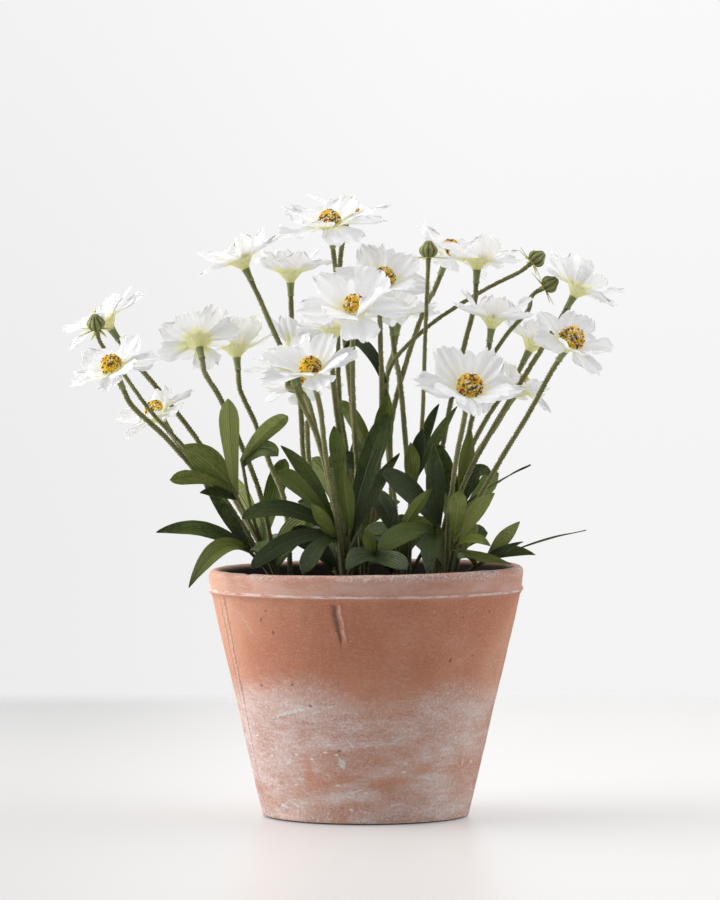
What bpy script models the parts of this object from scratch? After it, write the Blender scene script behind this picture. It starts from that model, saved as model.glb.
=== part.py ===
"""White daisies in an aged clay pot: pot, soil, six leafy sprays and twenty-six blooms.

Blender 4.5, metres, +Z up. The origin is the middle of the pot's underside.
The front of the pot looks along -Y. Places along the plant are written in millimetres
and turned into metres by the helper functions.
"""

import math
import random

import bmesh
import bpy
from mathutils import Matrix, Vector

MM = 0.001
SEED = 41
GAP = 0.3

# Pot, turned from a profile. Radii and heights in millimetres.
POT_SEGMENTS = 40
POT_HEIGHT = 157.5
FOOT_RADIUS = 66.0
FOOT_ROUND = 3.0
BODY_TOP_RADIUS = 97.6
RIDGE_RADIUS = 99.9
RIDGE_HEIGHT = 143.5
RIDGE_WIDTH = 2.2
BAND_RADIUS = 99.0
RIM_RADIUS = 99.9
RIM_INNER_RADIUS = 92.0
POT_FLOOR = 11.0
WALL_TOP = 139.5
WALL_TOP_INNER_RADIUS = 90.6
WALL_FOOT_INNER_RADIUS = 60.0
RIM_TILT = 0.014
RIDGE_TILT = 0.006

# Soil, with one plain hole for each spray.
SOIL_LEVEL = 134.0
SOIL_MOUND = 5.0
SOIL_BUMP = 1.1
SOIL_SEGMENTS = 24
SOIL_CLEAR = 0.9
CROWN_RADIUS = 6.5
HOLE_RADIUS = 6.9
HOLE_CUTTER_LENGTH = 60.0
CROWN_TOP = 146.0
CROWN_BOTTOM = 104.0
CROWN_SIDES = 10
CROWN_SPREAD = 3.7
STALK_SPREAD = 1.8

# Stems. The calyx is the green tube that carries a bloom.
STEM_SIDES = 5
STEM_RADIUS = 2.0
STEM_RINGS = 5
HOST_RINGS = 24
SPAN_STEPS = 16
STALK_SIDES = 4
TWIG_RADIUS = 1.5
CALYX_LENGTH = 9.0
STRAIGHT_UNDER_CALYX = 12.0
# Outline of the calyx above its foot, as distance and radius.
CALYX_OUTLINE = ((0.6, 2.3), (CALYX_LENGTH, 2.7))

# Blooms. The receptacle is the cone under the petals, and the disc sits on its flat top.
RECEPTACLE_HEIGHT = 7.0
RECEPTACLE_FOOT = 2.8
RECEPTACLE_TOP = 6.8
ROOT_RADIUS = 6.6
ROOT_HEIGHT = -1.2
PETALS = 8
PETAL_WIDTH = 10.4
FULL_LENGTH = 30.0
PETAL_THICKNESS = 1.1
LAYER_SPREAD = 28.0
STEEPEST = 64.0
DISC_RADIUS = 6.9
DISC_HEIGHT = 8.4
DISC_SIDES = 8
# Outline of the dome as shares of its height and radius.
DISC_OUTLINE = ((0.0, 0.92), (0.28, 1.0), (0.64, 0.82), (0.92, 0.42))
GRAIN_RELIEF = 0.45

# Buds, with ribs like a small pumpkin and thin sepals under it.
BUD_RADIUS = 5.8
BUD_HEIGHT = 9.5
BUD_RIBS = 5
BUD_GROOVE = 0.80
# Outline of a bud as shares of its height and radius.
BUD_OUTLINE = ((0.0, 0.35), (0.25, 0.95), (0.55, 1.0), (0.82, 0.5))
SEPAL_LENGTH = 12.0
SEPAL_WIDTH = 2.6
SEPAL_THICKNESS = 0.8
SEPAL_DROOP = -0.12

# Leaves: each lobe leaves the stalk a little lower than the one before.
LOBE_STEP = 2.4
LOBE_THICKNESS = 1.1
LOBE_DISH = 0.08

# Where each spray stands in the soil.
CROWNS = {
    "left": (-51, 4),
    "front_left": (-10, -40),
    "centre": (-5, 24),
    "centre_right": (23, -8),
    "right": (43, 32),
    "far_right": (50, -24),
}

# Bloom: its spray, the middle of its face, the way it looks, petal lift in degrees, radius,
# the stem that it branches from (None is the crown), and the points that its stem passes.
BLOOMS = {
    "01": ("left", (-167, 30, 314), (-0.57, -0.08, 0.82), 14, 30, None,
           ((-82, 22, 196), (-106, 36, 234), (-129, 40, 264))),
    "02": ("left", (-158, -50, 285), (-0.38, -0.42, 0.83), 8, 29, None,
           ((-81, -14, 184), (-96, -22, 205), (-125, -34, 240))),
    "03": ("left", (-133, 12, 255), (-0.55, -0.20, 0.81), 12, 28, None,
           ((-85, 6, 192), (-109, 10, 221))),
    "04": ("left", (-107, 18, 301), (-0.18, 0.66, 0.73), 12, 29, None,
           ((-66, 0, 200), (-82, -4, 242), (-93, -6, 266))),
    "05": ("left", (-84, 62, 296), (-0.10, 0.30, 0.95), 42, 25, None,
           ((-52, 26, 198), (-61, 38, 220), (-72, 50, 249))),
    "06": ("front_left", (-34, -78, 284), (-0.20, -0.42, 0.88), 18, 31, None,
           ((-18, -50, 190), (-25, -62, 230))),
    "07": ("front_left", (-50, -34, 288), (-0.35, -0.10, 0.93), 26, 25, None,
           ((-20, -38, 195), (-30, -36, 239))),
    "08": ("centre", (-42, 84, 272), (-0.22, -0.30, 0.92), 2, 28, None,
           ((-23, 34, 183), (-35, 50, 214), (-38, 70, 246))),
    "09": ("front_left", (-44, 27, 299), (0.20, 0.10, 0.95), 60, 16, None,
           ((-19, -28, 198), (-30, -12, 238), (-39, 8, 266))),
    "10": ("front_left", (-80, 30, 353), (-0.42, 0.06, 0.90), 24, 29, None,
           ((-20, -24, 201), (-30, -6, 237), (-42, 10, 270), (-59, 18, 307))),
    "11": ("centre", (-49, 64, 345), (-0.03, 0.00, 1.00), 38, 24, None,
           ((-24, 30, 186), (-38, 40, 214), (-42, 52, 256), (-46, 60, 297))),
    "12": ("centre", (-23, 6, 375), (-0.12, -0.24, 0.96), 8, 35, None,
           ((-6, 20, 218), (-11, 15, 279), (-18, 9, 336))),
    "13": ("centre", (-12, 60, 384), (0.15, 0.00, 0.99), 8, 30, None,
           ((-10, 30, 212), (-17, 40, 262), (-18, 50, 314))),
    "14": ("centre", (-7, -60, 322), (0.05, -0.52, 0.85), 14, 36, None,
           ((-4, 2, 187), (-5, -8, 212), (-8, -33, 264))),
    "15": ("centre", (-21, -14, 309), (0.00, 0.10, 0.99), 22, 26, None,
           ((-10, 17, 199), (-18, 2, 251))),
    "16": ("centre", (11, -13, 339), (0.08, -0.62, 0.78), 22, 29, None,
           ((8, 16, 222), (10, 8, 266), (9, 2, 304))),
    "17": ("centre_right", (16, 42, 319), (-0.08, -0.35, 0.93), 20, 27, None,
           ((28, 0, 200), (25, 14, 238), (22, 30, 272))),
    "18": ("centre_right", (22, 88, 319), (0.15, 0.10, 0.98), 18, 28, None,
           ((18, 14, 199), (13, 42, 243), (14, 68, 280))),
    "19": ("centre_right", (54, 77, 357), (0.36, -0.25, 0.90), 6, 29, None,
           ((16, 8, 212), (16, 24, 247), (26, 46, 287), (40, 70, 326))),
    "20": ("right", (71, 22, 353), (0.06, 0.10, 0.99), 13, 30, None,
           ((45, 30, 199), (53, 26, 256), (62, 22, 295))),
    "21": ("right", (80, -14, 316), (0.14, 0.03, 0.99), 28, 28, None,
           ((59, 18, 206), (67, 2, 251))),
    "22": ("right", (108, 54, 300), (0.45, 0.10, 0.88), 30, 27, None,
           ((58, 36, 208), (71, 42, 239), (85, 48, 262))),
    "23": ("far_right", (135, 4, 335), (0.50, 0.10, 0.86), 20, 30, None,
           ((59, -21, 204), (76, -20, 239), (102, -12, 282))),
    "24": ("far_right", (128, -34, 301), (0.45, -0.45, 0.77), 12, 29, None,
           ((63, -27, 185), (82, -28, 222), (103, -28, 257))),
    "25": ("far_right", (64, -76, 272), (0.12, -0.62, 0.78), 20, 33, None,
           ((52, -40, 192), (57, -54, 232))),
    "26": ("right", (97, 19, 271), (0.50, 0.22, 0.84), 14, 25, None,
           ((55, 26, 199), (69, 18, 226))),
}

# Petal that stands up over the disc: the side of the bloom that it is on and its extra lift,
# both in degrees. On a bloom that looks up, -90 is the front.
RAISED = {
    "01": (-60, 36), "03": (-20, 28), "10": (-90, 24), "14": (-55, 44), "16": (-140, 28),
    "19": (170, 34), "20": (-80, 32), "21": (-100, 32), "22": (-90, 16), "23": (-110, 40),
    "25": (-95, 14),
}

# Bud: its spray, the middle of its foot, the way it looks, the stem it leaves and its own points.
BUDS = {
    "a": ("left", (-169, -22, 308), (-0.15, -0.45, 0.88), None,
          ((-85, -8, 195), (-113, -16, 232), (-136, -18, 257), (-156, -17, 285))),
    "b": ("centre_right", (39, -32, 353), (0.03, 0.00, 1.00), None,
          ((30, -14, 204), (35, -20, 245), (37, -30, 300))),
    "c": ("centre_right", (106, 52, 350), (0.78, 0.08, 0.62), None,
          ((18, 2, 200), (13, 16, 250), (15, 26, 282), (38, 36, 308), (78, 46, 334))),
    "d": ("right", (113, 24, 334), (0.82, -0.10, 0.52), "21",
          ((77, -13, 289), (90, -2, 306), (103, 12, 320))),
}

# Shares of the length and of the width at each row of a blade, by its number of rows.
BLADE_SHAPES = {
    1: ((0.55, 0.50),),
    2: ((0.36, 0.42), (0.80, 0.44)),
    3: ((0.24, 0.35), (0.60, 0.50), (0.89, 0.35)),
}

# Leaf: its spray, the points of its stalk from the crown to the joint of its lobes, and the
# lobes. A lobe has its tip, width, the height of its arch, and the way its upper side looks.
UP = (0, 0, 1)
FRONT = (0, -1, 0.4)
BACK = (0, 1, 0.4)
TOP = (0, -0.8, 0.6)
LEAVES = (
    ("left", ((-68, -20, 176), (-84, -34, 209)), (
        ((-115, -48, 236), 18, 3, (-0.4, 0.8, 0.3)),
        ((-122, -58, 215), 10, 4, BACK),
        ((-86, -50, 265), 13, 0, BACK),
        ((-104, -44, 206), 8, 2, FRONT))),
    ("left", ((-70, -22, 186), (-78, -30, 226)), (
        ((-49, -56, 254), 11, 4, BACK),
        ((-55, -44, 229), 11, 7, FRONT))),
    ("left", ((-62, -16, 156), (-76, -32, 172)), (
        ((-131, -44, 181), 12, 7, TOP),
        ((-110, -66, 148), 13, 12, TOP),
        ((-101, -30, 210), 9, 2, FRONT),
        ((-60, -56, 166), 12, 6, TOP))),
    ("left", ((-60, 16, 158), (-68, 34, 178)), (
        ((-94, 58, 216), 13, 5, BACK),
        ((-70, 80, 190), 14, 9, UP),
        ((-86, 46, 176), 12, 6, TOP),
        ((-52, 48, 224), 13, 3, FRONT))),
    ("front_left", ((-16, -44, 165), (-21, -48, 187)), (
        ((-53, -52, 236), 11, 5, TOP),
        ((-55, -62, 220), 12, 4, FRONT),
        ((-77, -66, 192), 13, 9, TOP),
        ((-71, -70, 160), 13, 8, TOP),
        ((-39, -80, 157), 12, 7, TOP),
        ((-34, -64, 201), 9, 1, BACK))),
    ("front_left", ((-12, -44, 165), (-10, -47, 184)), (
        ((-15, -58, 222), 10, 1, BACK),
        ((-20, -42, 248), 10, 2, FRONT),
        ((14, -36, 256), 14, 5, FRONT),
        ((21, -33, 231), 9, 4, TOP))),
    ("front_left", ((-10, -52, 158), (6, -66, 168)), (
        ((-12, -97, 161), 14, 4, TOP),
        ((0, -74, 185), 8, 1, BACK),
        ((25, -92, 161), 14, 4, TOP))),
    ("centre", ((-12, 42, 160), (-12, 52, 180)), (
        ((-34, 76, 224), 13, 5, BACK),
        ((8, 84, 214), 14, 6, BACK),
        ((-4, 66, 246), 12, 2, FRONT),
        ((-44, 62, 196), 14, 7, FRONT),
        ((22, 66, 196), 14, 7, FRONT))),
    ("centre", ((-2, 20, 175), (6, 18, 226)), (
        ((14, -4, 266), 9, 4, FRONT),
        ((-16, 30, 262), 10, 3, BACK),
        ((-24, 4, 222), 14, 4, FRONT))),
    ("centre", ((-2, 30, 190), (10, 12, 250), (12, 10, 274)), (
        ((-14, -4, 295), 9, 13, TOP),
        ((15, 0, 234), 8, 2, FRONT))),
    ("centre_right", ((26, -20, 172), (29, -24, 212)), (
        ((57, -32, 260), 7, 3, FRONT),
        ((46, -16, 261), 7, 7, FRONT),
        ((28, -40, 238), 10, 2, BACK),
        ((36, -34, 246), 9, 6, TOP))),
    ("centre_right", ((32, -26, 162), (46, -40, 186)), (
        ((10, -52, 219), 16, 5, TOP),
        ((42, -54, 237), 12, 1, FRONT),
        ((8, -66, 171), 14, 6, FRONT),
        ((38, -78, 157), 13, 6, TOP))),
    ("centre_right", ((20, -26, 160), (20, -44, 180)), (
        ((41, -60, 210), 8, 2, BACK),
        ((4, -22, 208), 13, 4, FRONT),
        ((-2, -22, 176), 13, 6, TOP))),
    ("right", ((52, 14, 165), (61, 2, 200)), (
        ((66, 0, 246), 10, 1, FRONT),
        ((79, -8, 215), 13, 10, TOP),
        ((104, 2, 223), 6, 1, UP),
        ((42, 4, 236), 13, 2, FRONT))),
    ("right", ((52, 46, 160), (60, 56, 178)), (
        ((86, 74, 214), 13, 5, BACK),
        ((56, 90, 194), 14, 8, UP),
        ((40, 66, 226), 13, 3, FRONT))),
    ("far_right", ((52, -36, 158), (56, -46, 176)), (
        ((80, -56, 206), 11, 4, BACK),
        ((77, -66, 175), 8, 4, TOP),
        ((90, -62, 163), 7, -1, TOP),
        ((58, -60, 208), 11, 1, BACK))),
    ("far_right", ((62, -28, 154), (77, -34, 165)), (
        ((96, -46, 188), 9, 1, BACK),
        ((138, -28, 183), 5, 1, UP),
        ((106, -40, 167), 8, 4, TOP),
        ((98, -56, 176), 7, 1, TOP),
        ((57, -72, 167), 10, 3, TOP))),
    # Short leaves that close the pot over the soil.
    ("left", ((-57, 2, 152), (-59, 1, 159)), (
        ((-38, -18, 188), 15, 4, FRONT),
        ((-34, 24, 182), 16, 5, TOP),
        ((-64, 78, 172), 15, 8, TOP))),
    ("front_left", ((-17, -37, 152), (-20, -34, 159)), (
        ((-48, -34, 180), 15, 5, FRONT),
        ((-34, -6, 184), 15, 4, FRONT),
        ((-7, -12, 190), 14, 3, FRONT))),
    ("centre", ((-4, 32, 152), (0, 44, 158)), (
        ((-30, 84, 174), 17, 6, TOP),
        ((2, 90, 180), 17, 6, TOP),
        ((32, 82, 172), 17, 6, TOP),
        ((-34, 52, 188), 16, 4, FRONT),
        ((30, 46, 186), 16, 4, FRONT))),
    ("centre_right", ((18, -4, 152), (15, 0, 158)), (
        ((-6, -4, 186), 15, 4, FRONT),
        ((36, 12, 188), 15, 4, FRONT),
        ((8, -42, 176), 14, 6, TOP))),
    ("right", ((48, 34, 152), (50, 38, 158)), (
        ((68, 72, 178), 16, 6, TOP),
        ((22, 64, 182), 16, 5, TOP),
        ((78, 36, 178), 14, 6, TOP))),
    ("far_right", ((52, -18, 152), (53, -14, 158)), (
        ((30, -22, 188), 15, 4, FRONT),
        ((68, 2, 186), 15, 4, FRONT))),
)


def metres(point):
    return Vector(point) * MM


def principled(name, colour, roughness):
    material = bpy.data.materials.new(name)
    material.use_nodes = True
    shader = material.node_tree.nodes["Principled BSDF"]
    shader.inputs["Base Color"].default_value = (*colour, 1.0)
    shader.inputs["Roughness"].default_value = roughness
    shader.inputs["Metallic"].default_value = 0.0
    material.diffuse_color = (*colour, 1.0)
    return material


def finished(name, bm, material=None):
    """Turns a bmesh into an object of the scene, its faces facing out."""
    bmesh.ops.recalc_face_normals(bm, faces=bm.faces)
    mesh = bpy.data.meshes.new(name)
    bm.to_mesh(mesh)
    bm.free()
    part = bpy.data.objects.new(name, mesh)
    bpy.context.scene.collection.objects.link(part)
    if material:
        mesh.materials.append(material)
    return part


def fused(name, pieces, material):
    """One solid from pieces that sink into each other."""
    first = pieces[0]
    first.name = name
    first.data.name = name
    others = bpy.data.collections.new("joined_to_" + name)
    bpy.context.scene.collection.children.link(others)
    for piece in pieces[1:]:
        bpy.context.scene.collection.objects.unlink(piece)
        others.objects.link(piece)
    union = first.modifiers.new("join", "BOOLEAN")
    union.operation = "UNION"
    union.solver = "MANIFOLD"
    union.operand_type = "COLLECTION"
    union.collection = others
    apply_modifiers(first)
    for piece in list(others.objects):
        bpy.data.objects.remove(piece)
    bpy.data.collections.remove(others)
    first.data.materials.clear()
    first.data.materials.append(material)
    return first


def apply_modifiers(part):
    graph = bpy.context.evaluated_depsgraph_get()
    mesh = bpy.data.meshes.new_from_object(part.evaluated_get(graph))
    mesh.name = part.name
    part.modifiers.clear()
    part.data = mesh


def axes_along(direction):
    """A matrix whose Z axis looks along the direction, and whose X axis stays near level."""
    z_axis = Vector(direction).normalized()
    side = Vector((1, 0, 0)) if abs(z_axis.x) < 0.9 else Vector((0, 1, 0))
    y_axis = z_axis.cross(side).normalized()
    x_axis = y_axis.cross(z_axis)
    return Matrix((x_axis, y_axis, z_axis)).transposed()


def smooth_route(points, steps):
    """A smooth curve through the given points, as points the same length apart."""
    knots = [Vector(point) for point in points]
    knots = [2 * knots[0] - knots[1], *knots, 2 * knots[-1] - knots[-2]]
    fine = [knots[1]]
    for before, start, end, after in zip(knots, knots[1:], knots[2:], knots[3:]):
        # Centripetal Catmull-Rom: the tangents follow the root of each span's length.
        first, span, last = (math.sqrt((b - a).length) for a, b in (
            (before, start), (start, end), (end, after)))
        middle = (end - start) / span
        leave = span * ((start - before) / first - (end - before) / (first + span) + middle)
        reach = span * (middle - (after - start) / (span + last) + (after - end) / last)
        for step in range(1, SPAN_STEPS + 1):
            t = step / SPAN_STEPS
            fine.append(
                start * (2 * t ** 3 - 3 * t ** 2 + 1) + leave * (t ** 3 - 2 * t ** 2 + t)
                + end * (3 * t ** 2 - 2 * t ** 3) + reach * (t ** 3 - t ** 2))
    done = [0.0]
    for start, end in zip(fine, fine[1:]):
        done.append(done[-1] + (end - start).length)
    route = []
    for step in range(steps):
        wanted = done[-1] * step / steps
        index = max(i for i, length in enumerate(done) if length <= wanted)
        share = (wanted - done[index]) / (done[index + 1] - done[index])
        route.append(fine[index].lerp(fine[index + 1], share))
    return [*route, fine[-1]]


def tube(name, route, radii, sides):
    """A closed tube along a route, with its own radius at each point. Both in millimetres."""
    bm = bmesh.new()
    rings = []
    side = axes_along(route[1] - route[0]).col[0].copy()
    for index, (point, radius) in enumerate(zip(route, radii)):
        ahead = route[min(index + 1, len(route) - 1)] - route[max(index - 1, 0)]
        if index == len(route) - 1:
            ahead = route[-1] - route[-2]
        ahead.normalize()
        side = (side - ahead * side.dot(ahead)).normalized()
        other = ahead.cross(side)
        ring = []
        for corner in range(sides):
            angle = math.tau * corner / sides
            edge = side * math.cos(angle) + other * math.sin(angle)
            ring.append(bm.verts.new((point + edge * radius) * MM))
        rings.append(ring)
    for lower, upper in zip(rings, rings[1:]):
        for corner in range(sides):
            after = (corner + 1) % sides
            bm.faces.new((lower[corner], lower[after], upper[after], upper[corner]))
    bm.faces.new(rings[0])
    bm.faces.new(rings[-1])
    return finished(name, bm)


def turned(bm, profile, segments):
    """Spins a profile of (radius, height) in millimetres, whose ends lie on the axis."""
    corners = [bm.verts.new((radius * MM, 0.0, height * MM)) for radius, height in profile]
    edges = [bm.edges.new(pair) for pair in zip(corners, corners[1:])]
    bmesh.ops.spin(bm, geom=corners + edges, cent=(0, 0, 0), axis=(0, 0, 1), angle=math.tau,
                   steps=segments, use_merge=True, use_duplicate=False)
    bmesh.ops.remove_doubles(bm, verts=bm.verts, dist=0.01 * MM)


def arc(centre, radius, start, end, steps):
    """Points of a round stretch of a profile, between two angles in degrees."""
    for step in range(steps + 1):
        angle = math.radians(start + (end - start) * step / steps)
        yield (centre[0] + radius * math.cos(angle), centre[1] + radius * math.sin(angle))


def make_pot(material):
    lip_radius = (RIM_RADIUS - RIM_INNER_RADIUS) / 2
    lip_middle = (RIM_RADIUS - lip_radius, POT_HEIGHT - lip_radius)
    foot_middle = (FOOT_RADIUS - FOOT_ROUND, FOOT_ROUND)
    profile = [(0, 0), (foot_middle[0], 0)]
    profile += arc(foot_middle, FOOT_ROUND, -60, -8, 2)
    profile += [
        (BODY_TOP_RADIUS, RIDGE_HEIGHT - 1.6 * RIDGE_WIDTH),
        (RIDGE_RADIUS, RIDGE_HEIGHT - RIDGE_WIDTH / 2),
        (RIDGE_RADIUS, RIDGE_HEIGHT + RIDGE_WIDTH / 2),
        (BAND_RADIUS, RIDGE_HEIGHT + 1.1 * RIDGE_WIDTH),
    ]
    profile += arc(lip_middle, lip_radius, 0, 180, 5)
    profile += [
        (WALL_TOP_INNER_RADIUS, WALL_TOP),
        (WALL_FOOT_INNER_RADIUS, POT_FLOOR),
        (0, POT_FLOOR),
    ]
    bm = bmesh.new()
    turned(bm, profile, POT_SEGMENTS)
    for vert in bm.verts:
        height = vert.co.z / MM
        if height > WALL_TOP:
            rise = min(1.0, (height - WALL_TOP) / (POT_HEIGHT - RIDGE_HEIGHT))
            vert.co.z += vert.co.x * (RIDGE_TILT + (RIM_TILT - RIDGE_TILT) * rise)
    return finished("pot", bm, material)


def inner_radius(height):
    """Radius of the pot's inner wall at a height."""
    along = (height - POT_FLOOR) / (WALL_TOP - POT_FLOOR)
    return WALL_FOOT_INNER_RADIUS + along * (WALL_TOP_INNER_RADIUS - WALL_FOOT_INNER_RADIUS)


def make_soil(material):
    """A plug that fills the pot, with a low uneven mound and a hole for each crown."""
    draw = random.Random(SEED)
    floor = POT_FLOOR + GAP
    edge = inner_radius(SOIL_LEVEL) - SOIL_CLEAR
    profile = [(0, floor), (inner_radius(floor) - SOIL_CLEAR, floor), (edge, SOIL_LEVEL)]
    for share in (0.88, 0.66, 0.44, 0.22):
        profile.append((edge * share, SOIL_LEVEL + SOIL_MOUND * (1 - share ** 2)))
    profile.append((0, SOIL_LEVEL + SOIL_MOUND))
    bm = bmesh.new()
    turned(bm, profile, SOIL_SEGMENTS)
    for vert in bm.verts:
        if vert.co.z > (SOIL_LEVEL + 0.1) * MM:
            vert.co.z += draw.uniform(-SOIL_BUMP, SOIL_BUMP) * MM
    soil = finished("soil", bm, material)
    for spray, (x, y) in CROWNS.items():
        bm = bmesh.new()
        bmesh.ops.create_cone(
            bm, cap_ends=True, segments=CROWN_SIDES, depth=HOLE_CUTTER_LENGTH * MM,
            radius1=HOLE_RADIUS * MM, radius2=HOLE_RADIUS * MM,
            matrix=Matrix.Translation(metres((x, y, CROWN_BOTTOM - GAP + HOLE_CUTTER_LENGTH / 2))))
        cutter = finished("hole_" + spray, bm)
        cut = soil.modifiers.new("hole_" + spray, "BOOLEAN")
        cut.operation = "DIFFERENCE"
        cut.object = cutter
        cutter.hide_render = True
        cutter.display_type = "WIRE"
    return soil


def petal_skins(bm, root, turn, radius, width, lift, twist):
    """One petal from its root on the receptacle: a blade with a notched tip, thick along its
    middle and thin at its edge. The root holds its left, right, upper and lower vertices."""
    # Distance from the bloom's axis, half width, and how far the edge curls up.
    outline = (
        (9.5, 0.38, 0.1), (0.74 * radius, 1.0, 1.1), (0.94 * radius, 0.72, 0.9),
        (0.90 * radius, 0.36, 0.3))
    slope = math.tan(math.radians(lift))
    lean = math.tan(math.radians(twist)) / radius
    spin = Matrix.Rotation(turn, 3, "Z")

    def corner(reach, across, curl, offset=0.0):
        # The blade bends back a little towards its tip.
        rise = slope * (reach - ROOT_RADIUS - 0.10 * max(reach - 0.6 * radius, 0.0))
        height = ROOT_HEIGHT + rise + curl + offset + across * reach * lean
        return bm.verts.new(spin @ Vector((reach, across, height)) * MM)

    right, left, upper, lower = root
    left_edge = [left, *(corner(r, w * width, c) for r, w, c in outline)]
    right_edge = [right, *(corner(r, -w * width, c) for r, w, c in outline)]
    tip = corner(radius, 0.0, 0.0)
    rim = [*left_edge, tip, *reversed(right_edge)]
    for skin, sign in ((upper, 1), (lower, -1)):
        middle = corner(0.68 * radius, 0.0, 0.1, sign * PETAL_THICKNESS / 2)
        bm.faces.new((skin, rim[0], rim[1]))
        bm.faces.new((skin, rim[1], middle))
        bm.faces.new((skin, middle, rim[-2]))
        bm.faces.new((skin, rim[-2], rim[-1]))
        for before, after in zip(rim[1:-2], rim[2:-1]):
            bm.faces.new((before, after, middle))


def move_to(part, at, facing):
    """Puts a piece that was made at the origin, looking up, where it belongs."""
    turn = axes_along(facing).to_4x4()
    part.data.transform(Matrix.Translation(metres(at)) @ turn)


def make_petals(number, centre, facing, lift, radius, material):
    """The receptacle and, round it, the petals: every second one lies in the lower layer."""
    raised_side, raised_lift = RAISED.get(number, (0, 0))
    draw = random.Random(SEED + int(number))
    first = draw.uniform(0, math.tau)
    step = math.tau / PETALS
    bm = bmesh.new()

    def ring(out, up, shift=0.0):
        angles = [first + step * (index + shift) for index in range(PETALS)]
        return [bm.verts.new(metres((out * math.cos(a), out * math.sin(a), up))) for a in angles]

    foot = ring(RECEPTACLE_FOOT, -RECEPTACLE_HEIGHT)
    seam = ring(ROOT_RADIUS, ROOT_HEIGHT)
    top = ring(RECEPTACLE_TOP, 0.0)
    over = ring(ROOT_RADIUS * math.cos(step / 2), ROOT_HEIGHT + 0.45 * PETAL_THICKNESS, 0.5)
    under = ring(ROOT_RADIUS * math.cos(step / 2) - 0.1, ROOT_HEIGHT - 0.55 * PETAL_THICKNESS, 0.5)
    bm.faces.new(foot)
    bm.faces.new(top)
    for index in range(PETALS):
        after = (index + 1) % PETALS
        bm.faces.new((foot[index], foot[after], under[index]))
        bm.faces.new((foot[index], under[index], seam[index]))
        bm.faces.new((foot[after], seam[after], under[index]))
        bm.faces.new((top[index], over[index], top[after]))
        bm.faces.new((top[index], seam[index], over[index]))
        bm.faces.new((top[after], over[index], seam[after]))
        side = first + step * (index + 0.5)
        turn = side + math.radians(draw.uniform(-3, 3))
        length = radius * draw.uniform(0.94, 1.03) / math.cos(math.radians(lift))
        # Short petals are narrower, and so are the steep ones of a cup.
        width = PETAL_WIDTH * min(length, 1.3 * radius) / FULL_LENGTH * draw.uniform(0.94, 1.04)
        rise = lift + LAYER_SPREAD * (0.5 - index % 2) + draw.uniform(-2, 2)
        if abs(math.remainder(side - math.radians(raised_side), math.tau)) < step / 2:
            rise += raised_lift
        rise = min(STEEPEST, rise)
        petal_skins(
            bm, (seam[index], seam[after], over[index], under[index]), turn,
            length * math.cos(math.radians(rise)), width, rise, draw.uniform(-4, 4))
    bloom = finished("petals_" + number, bm, material)
    move_to(bloom, centre, facing)
    return bloom


def make_disc(number, centre, facing, material):
    """The domed middle of a bloom, with its grains as a raised and sunk pattern."""
    bm = bmesh.new()
    rings = []
    for row, (up, out) in enumerate(DISC_OUTLINE):
        ring = []
        for corner in range(DISC_SIDES):
            angle = math.tau * (corner + 0.5 * (row % 2)) / DISC_SIDES
            relief = GRAIN_RELIEF * (1 if corner % 2 else -1) if row else 0
            reach = DISC_RADIUS * out + relief * out
            height = GAP + up * DISC_HEIGHT + relief * up
            ring.append(bm.verts.new(metres((
                reach * math.cos(angle), reach * math.sin(angle), height))))
        rings.append(ring)
    for lower, upper in zip(rings, rings[1:]):
        for corner in range(DISC_SIDES):
            after = (corner + 1) % DISC_SIDES
            bm.faces.new((lower[corner], lower[after], upper[corner]))
            bm.faces.new((lower[after], upper[after], upper[corner]))
    bm.faces.new(rings[0])
    top = bm.verts.new(metres((0, 0, GAP + DISC_HEIGHT)))
    for corner in range(DISC_SIDES):
        bm.faces.new((rings[-1][corner], rings[-1][(corner + 1) % DISC_SIDES], top))
    disc = finished("disc_" + number, bm, material)
    move_to(disc, centre, facing)
    return disc


def nearest(route, point):
    return min(route, key=lambda place: (place - Vector(point)).length)


def stems_of(spray):
    """The blooms and buds whose stems rise from a spray's crown, in order round it."""
    x, y = CROWNS[spray]
    first = {}
    for name, (owner, *_, host, via) in [*BLOOMS.items(), *BUDS.items()]:
        if owner == spray and not host:
            first[name] = math.atan2(via[0][1] - y, via[0][0] - x)
    return sorted(first, key=first.get), first


def stem_start(name, spray, host, via, routes):
    """The first points of a stem: at its place in the crown, or on the middle of its host stem."""
    if host:
        return [nearest(routes[host], via[0]), *via[1:]]
    x, y = CROWNS[spray]
    order, first = stems_of(spray)
    angle = first[order[0]] + math.tau * order.index(name) / len(order)
    x += CROWN_SPREAD * math.cos(angle)
    y += CROWN_SPREAD * math.sin(angle)
    return [(x, y, CROWN_TOP - 7), *via]


def bloom_stem(name, spray, centre, facing, host, via, routes):
    """A stem and, at its top, the sleeve of the calyx. Gives its route and solid."""
    way = Vector(facing).normalized()
    top = Vector(centre) - way * (RECEPTACLE_HEIGHT + GAP)
    foot = top - way * CALYX_LENGTH
    points = stem_start(name, spray, host, via, routes)
    points += [foot - way * STRAIGHT_UNDER_CALYX, foot]
    route = smooth_route(points, STEM_RINGS)
    radii = [TWIG_RADIUS if host else STEM_RADIUS] * len(route)
    radii[-1] = STEM_RADIUS
    whole = route + [foot + way * along for along, _ in CALYX_OUTLINE]
    radii += [radius for _, radius in CALYX_OUTLINE]
    return smooth_route(points, HOST_RINGS), tube("stem", whole, radii, STEM_SIDES)


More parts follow.
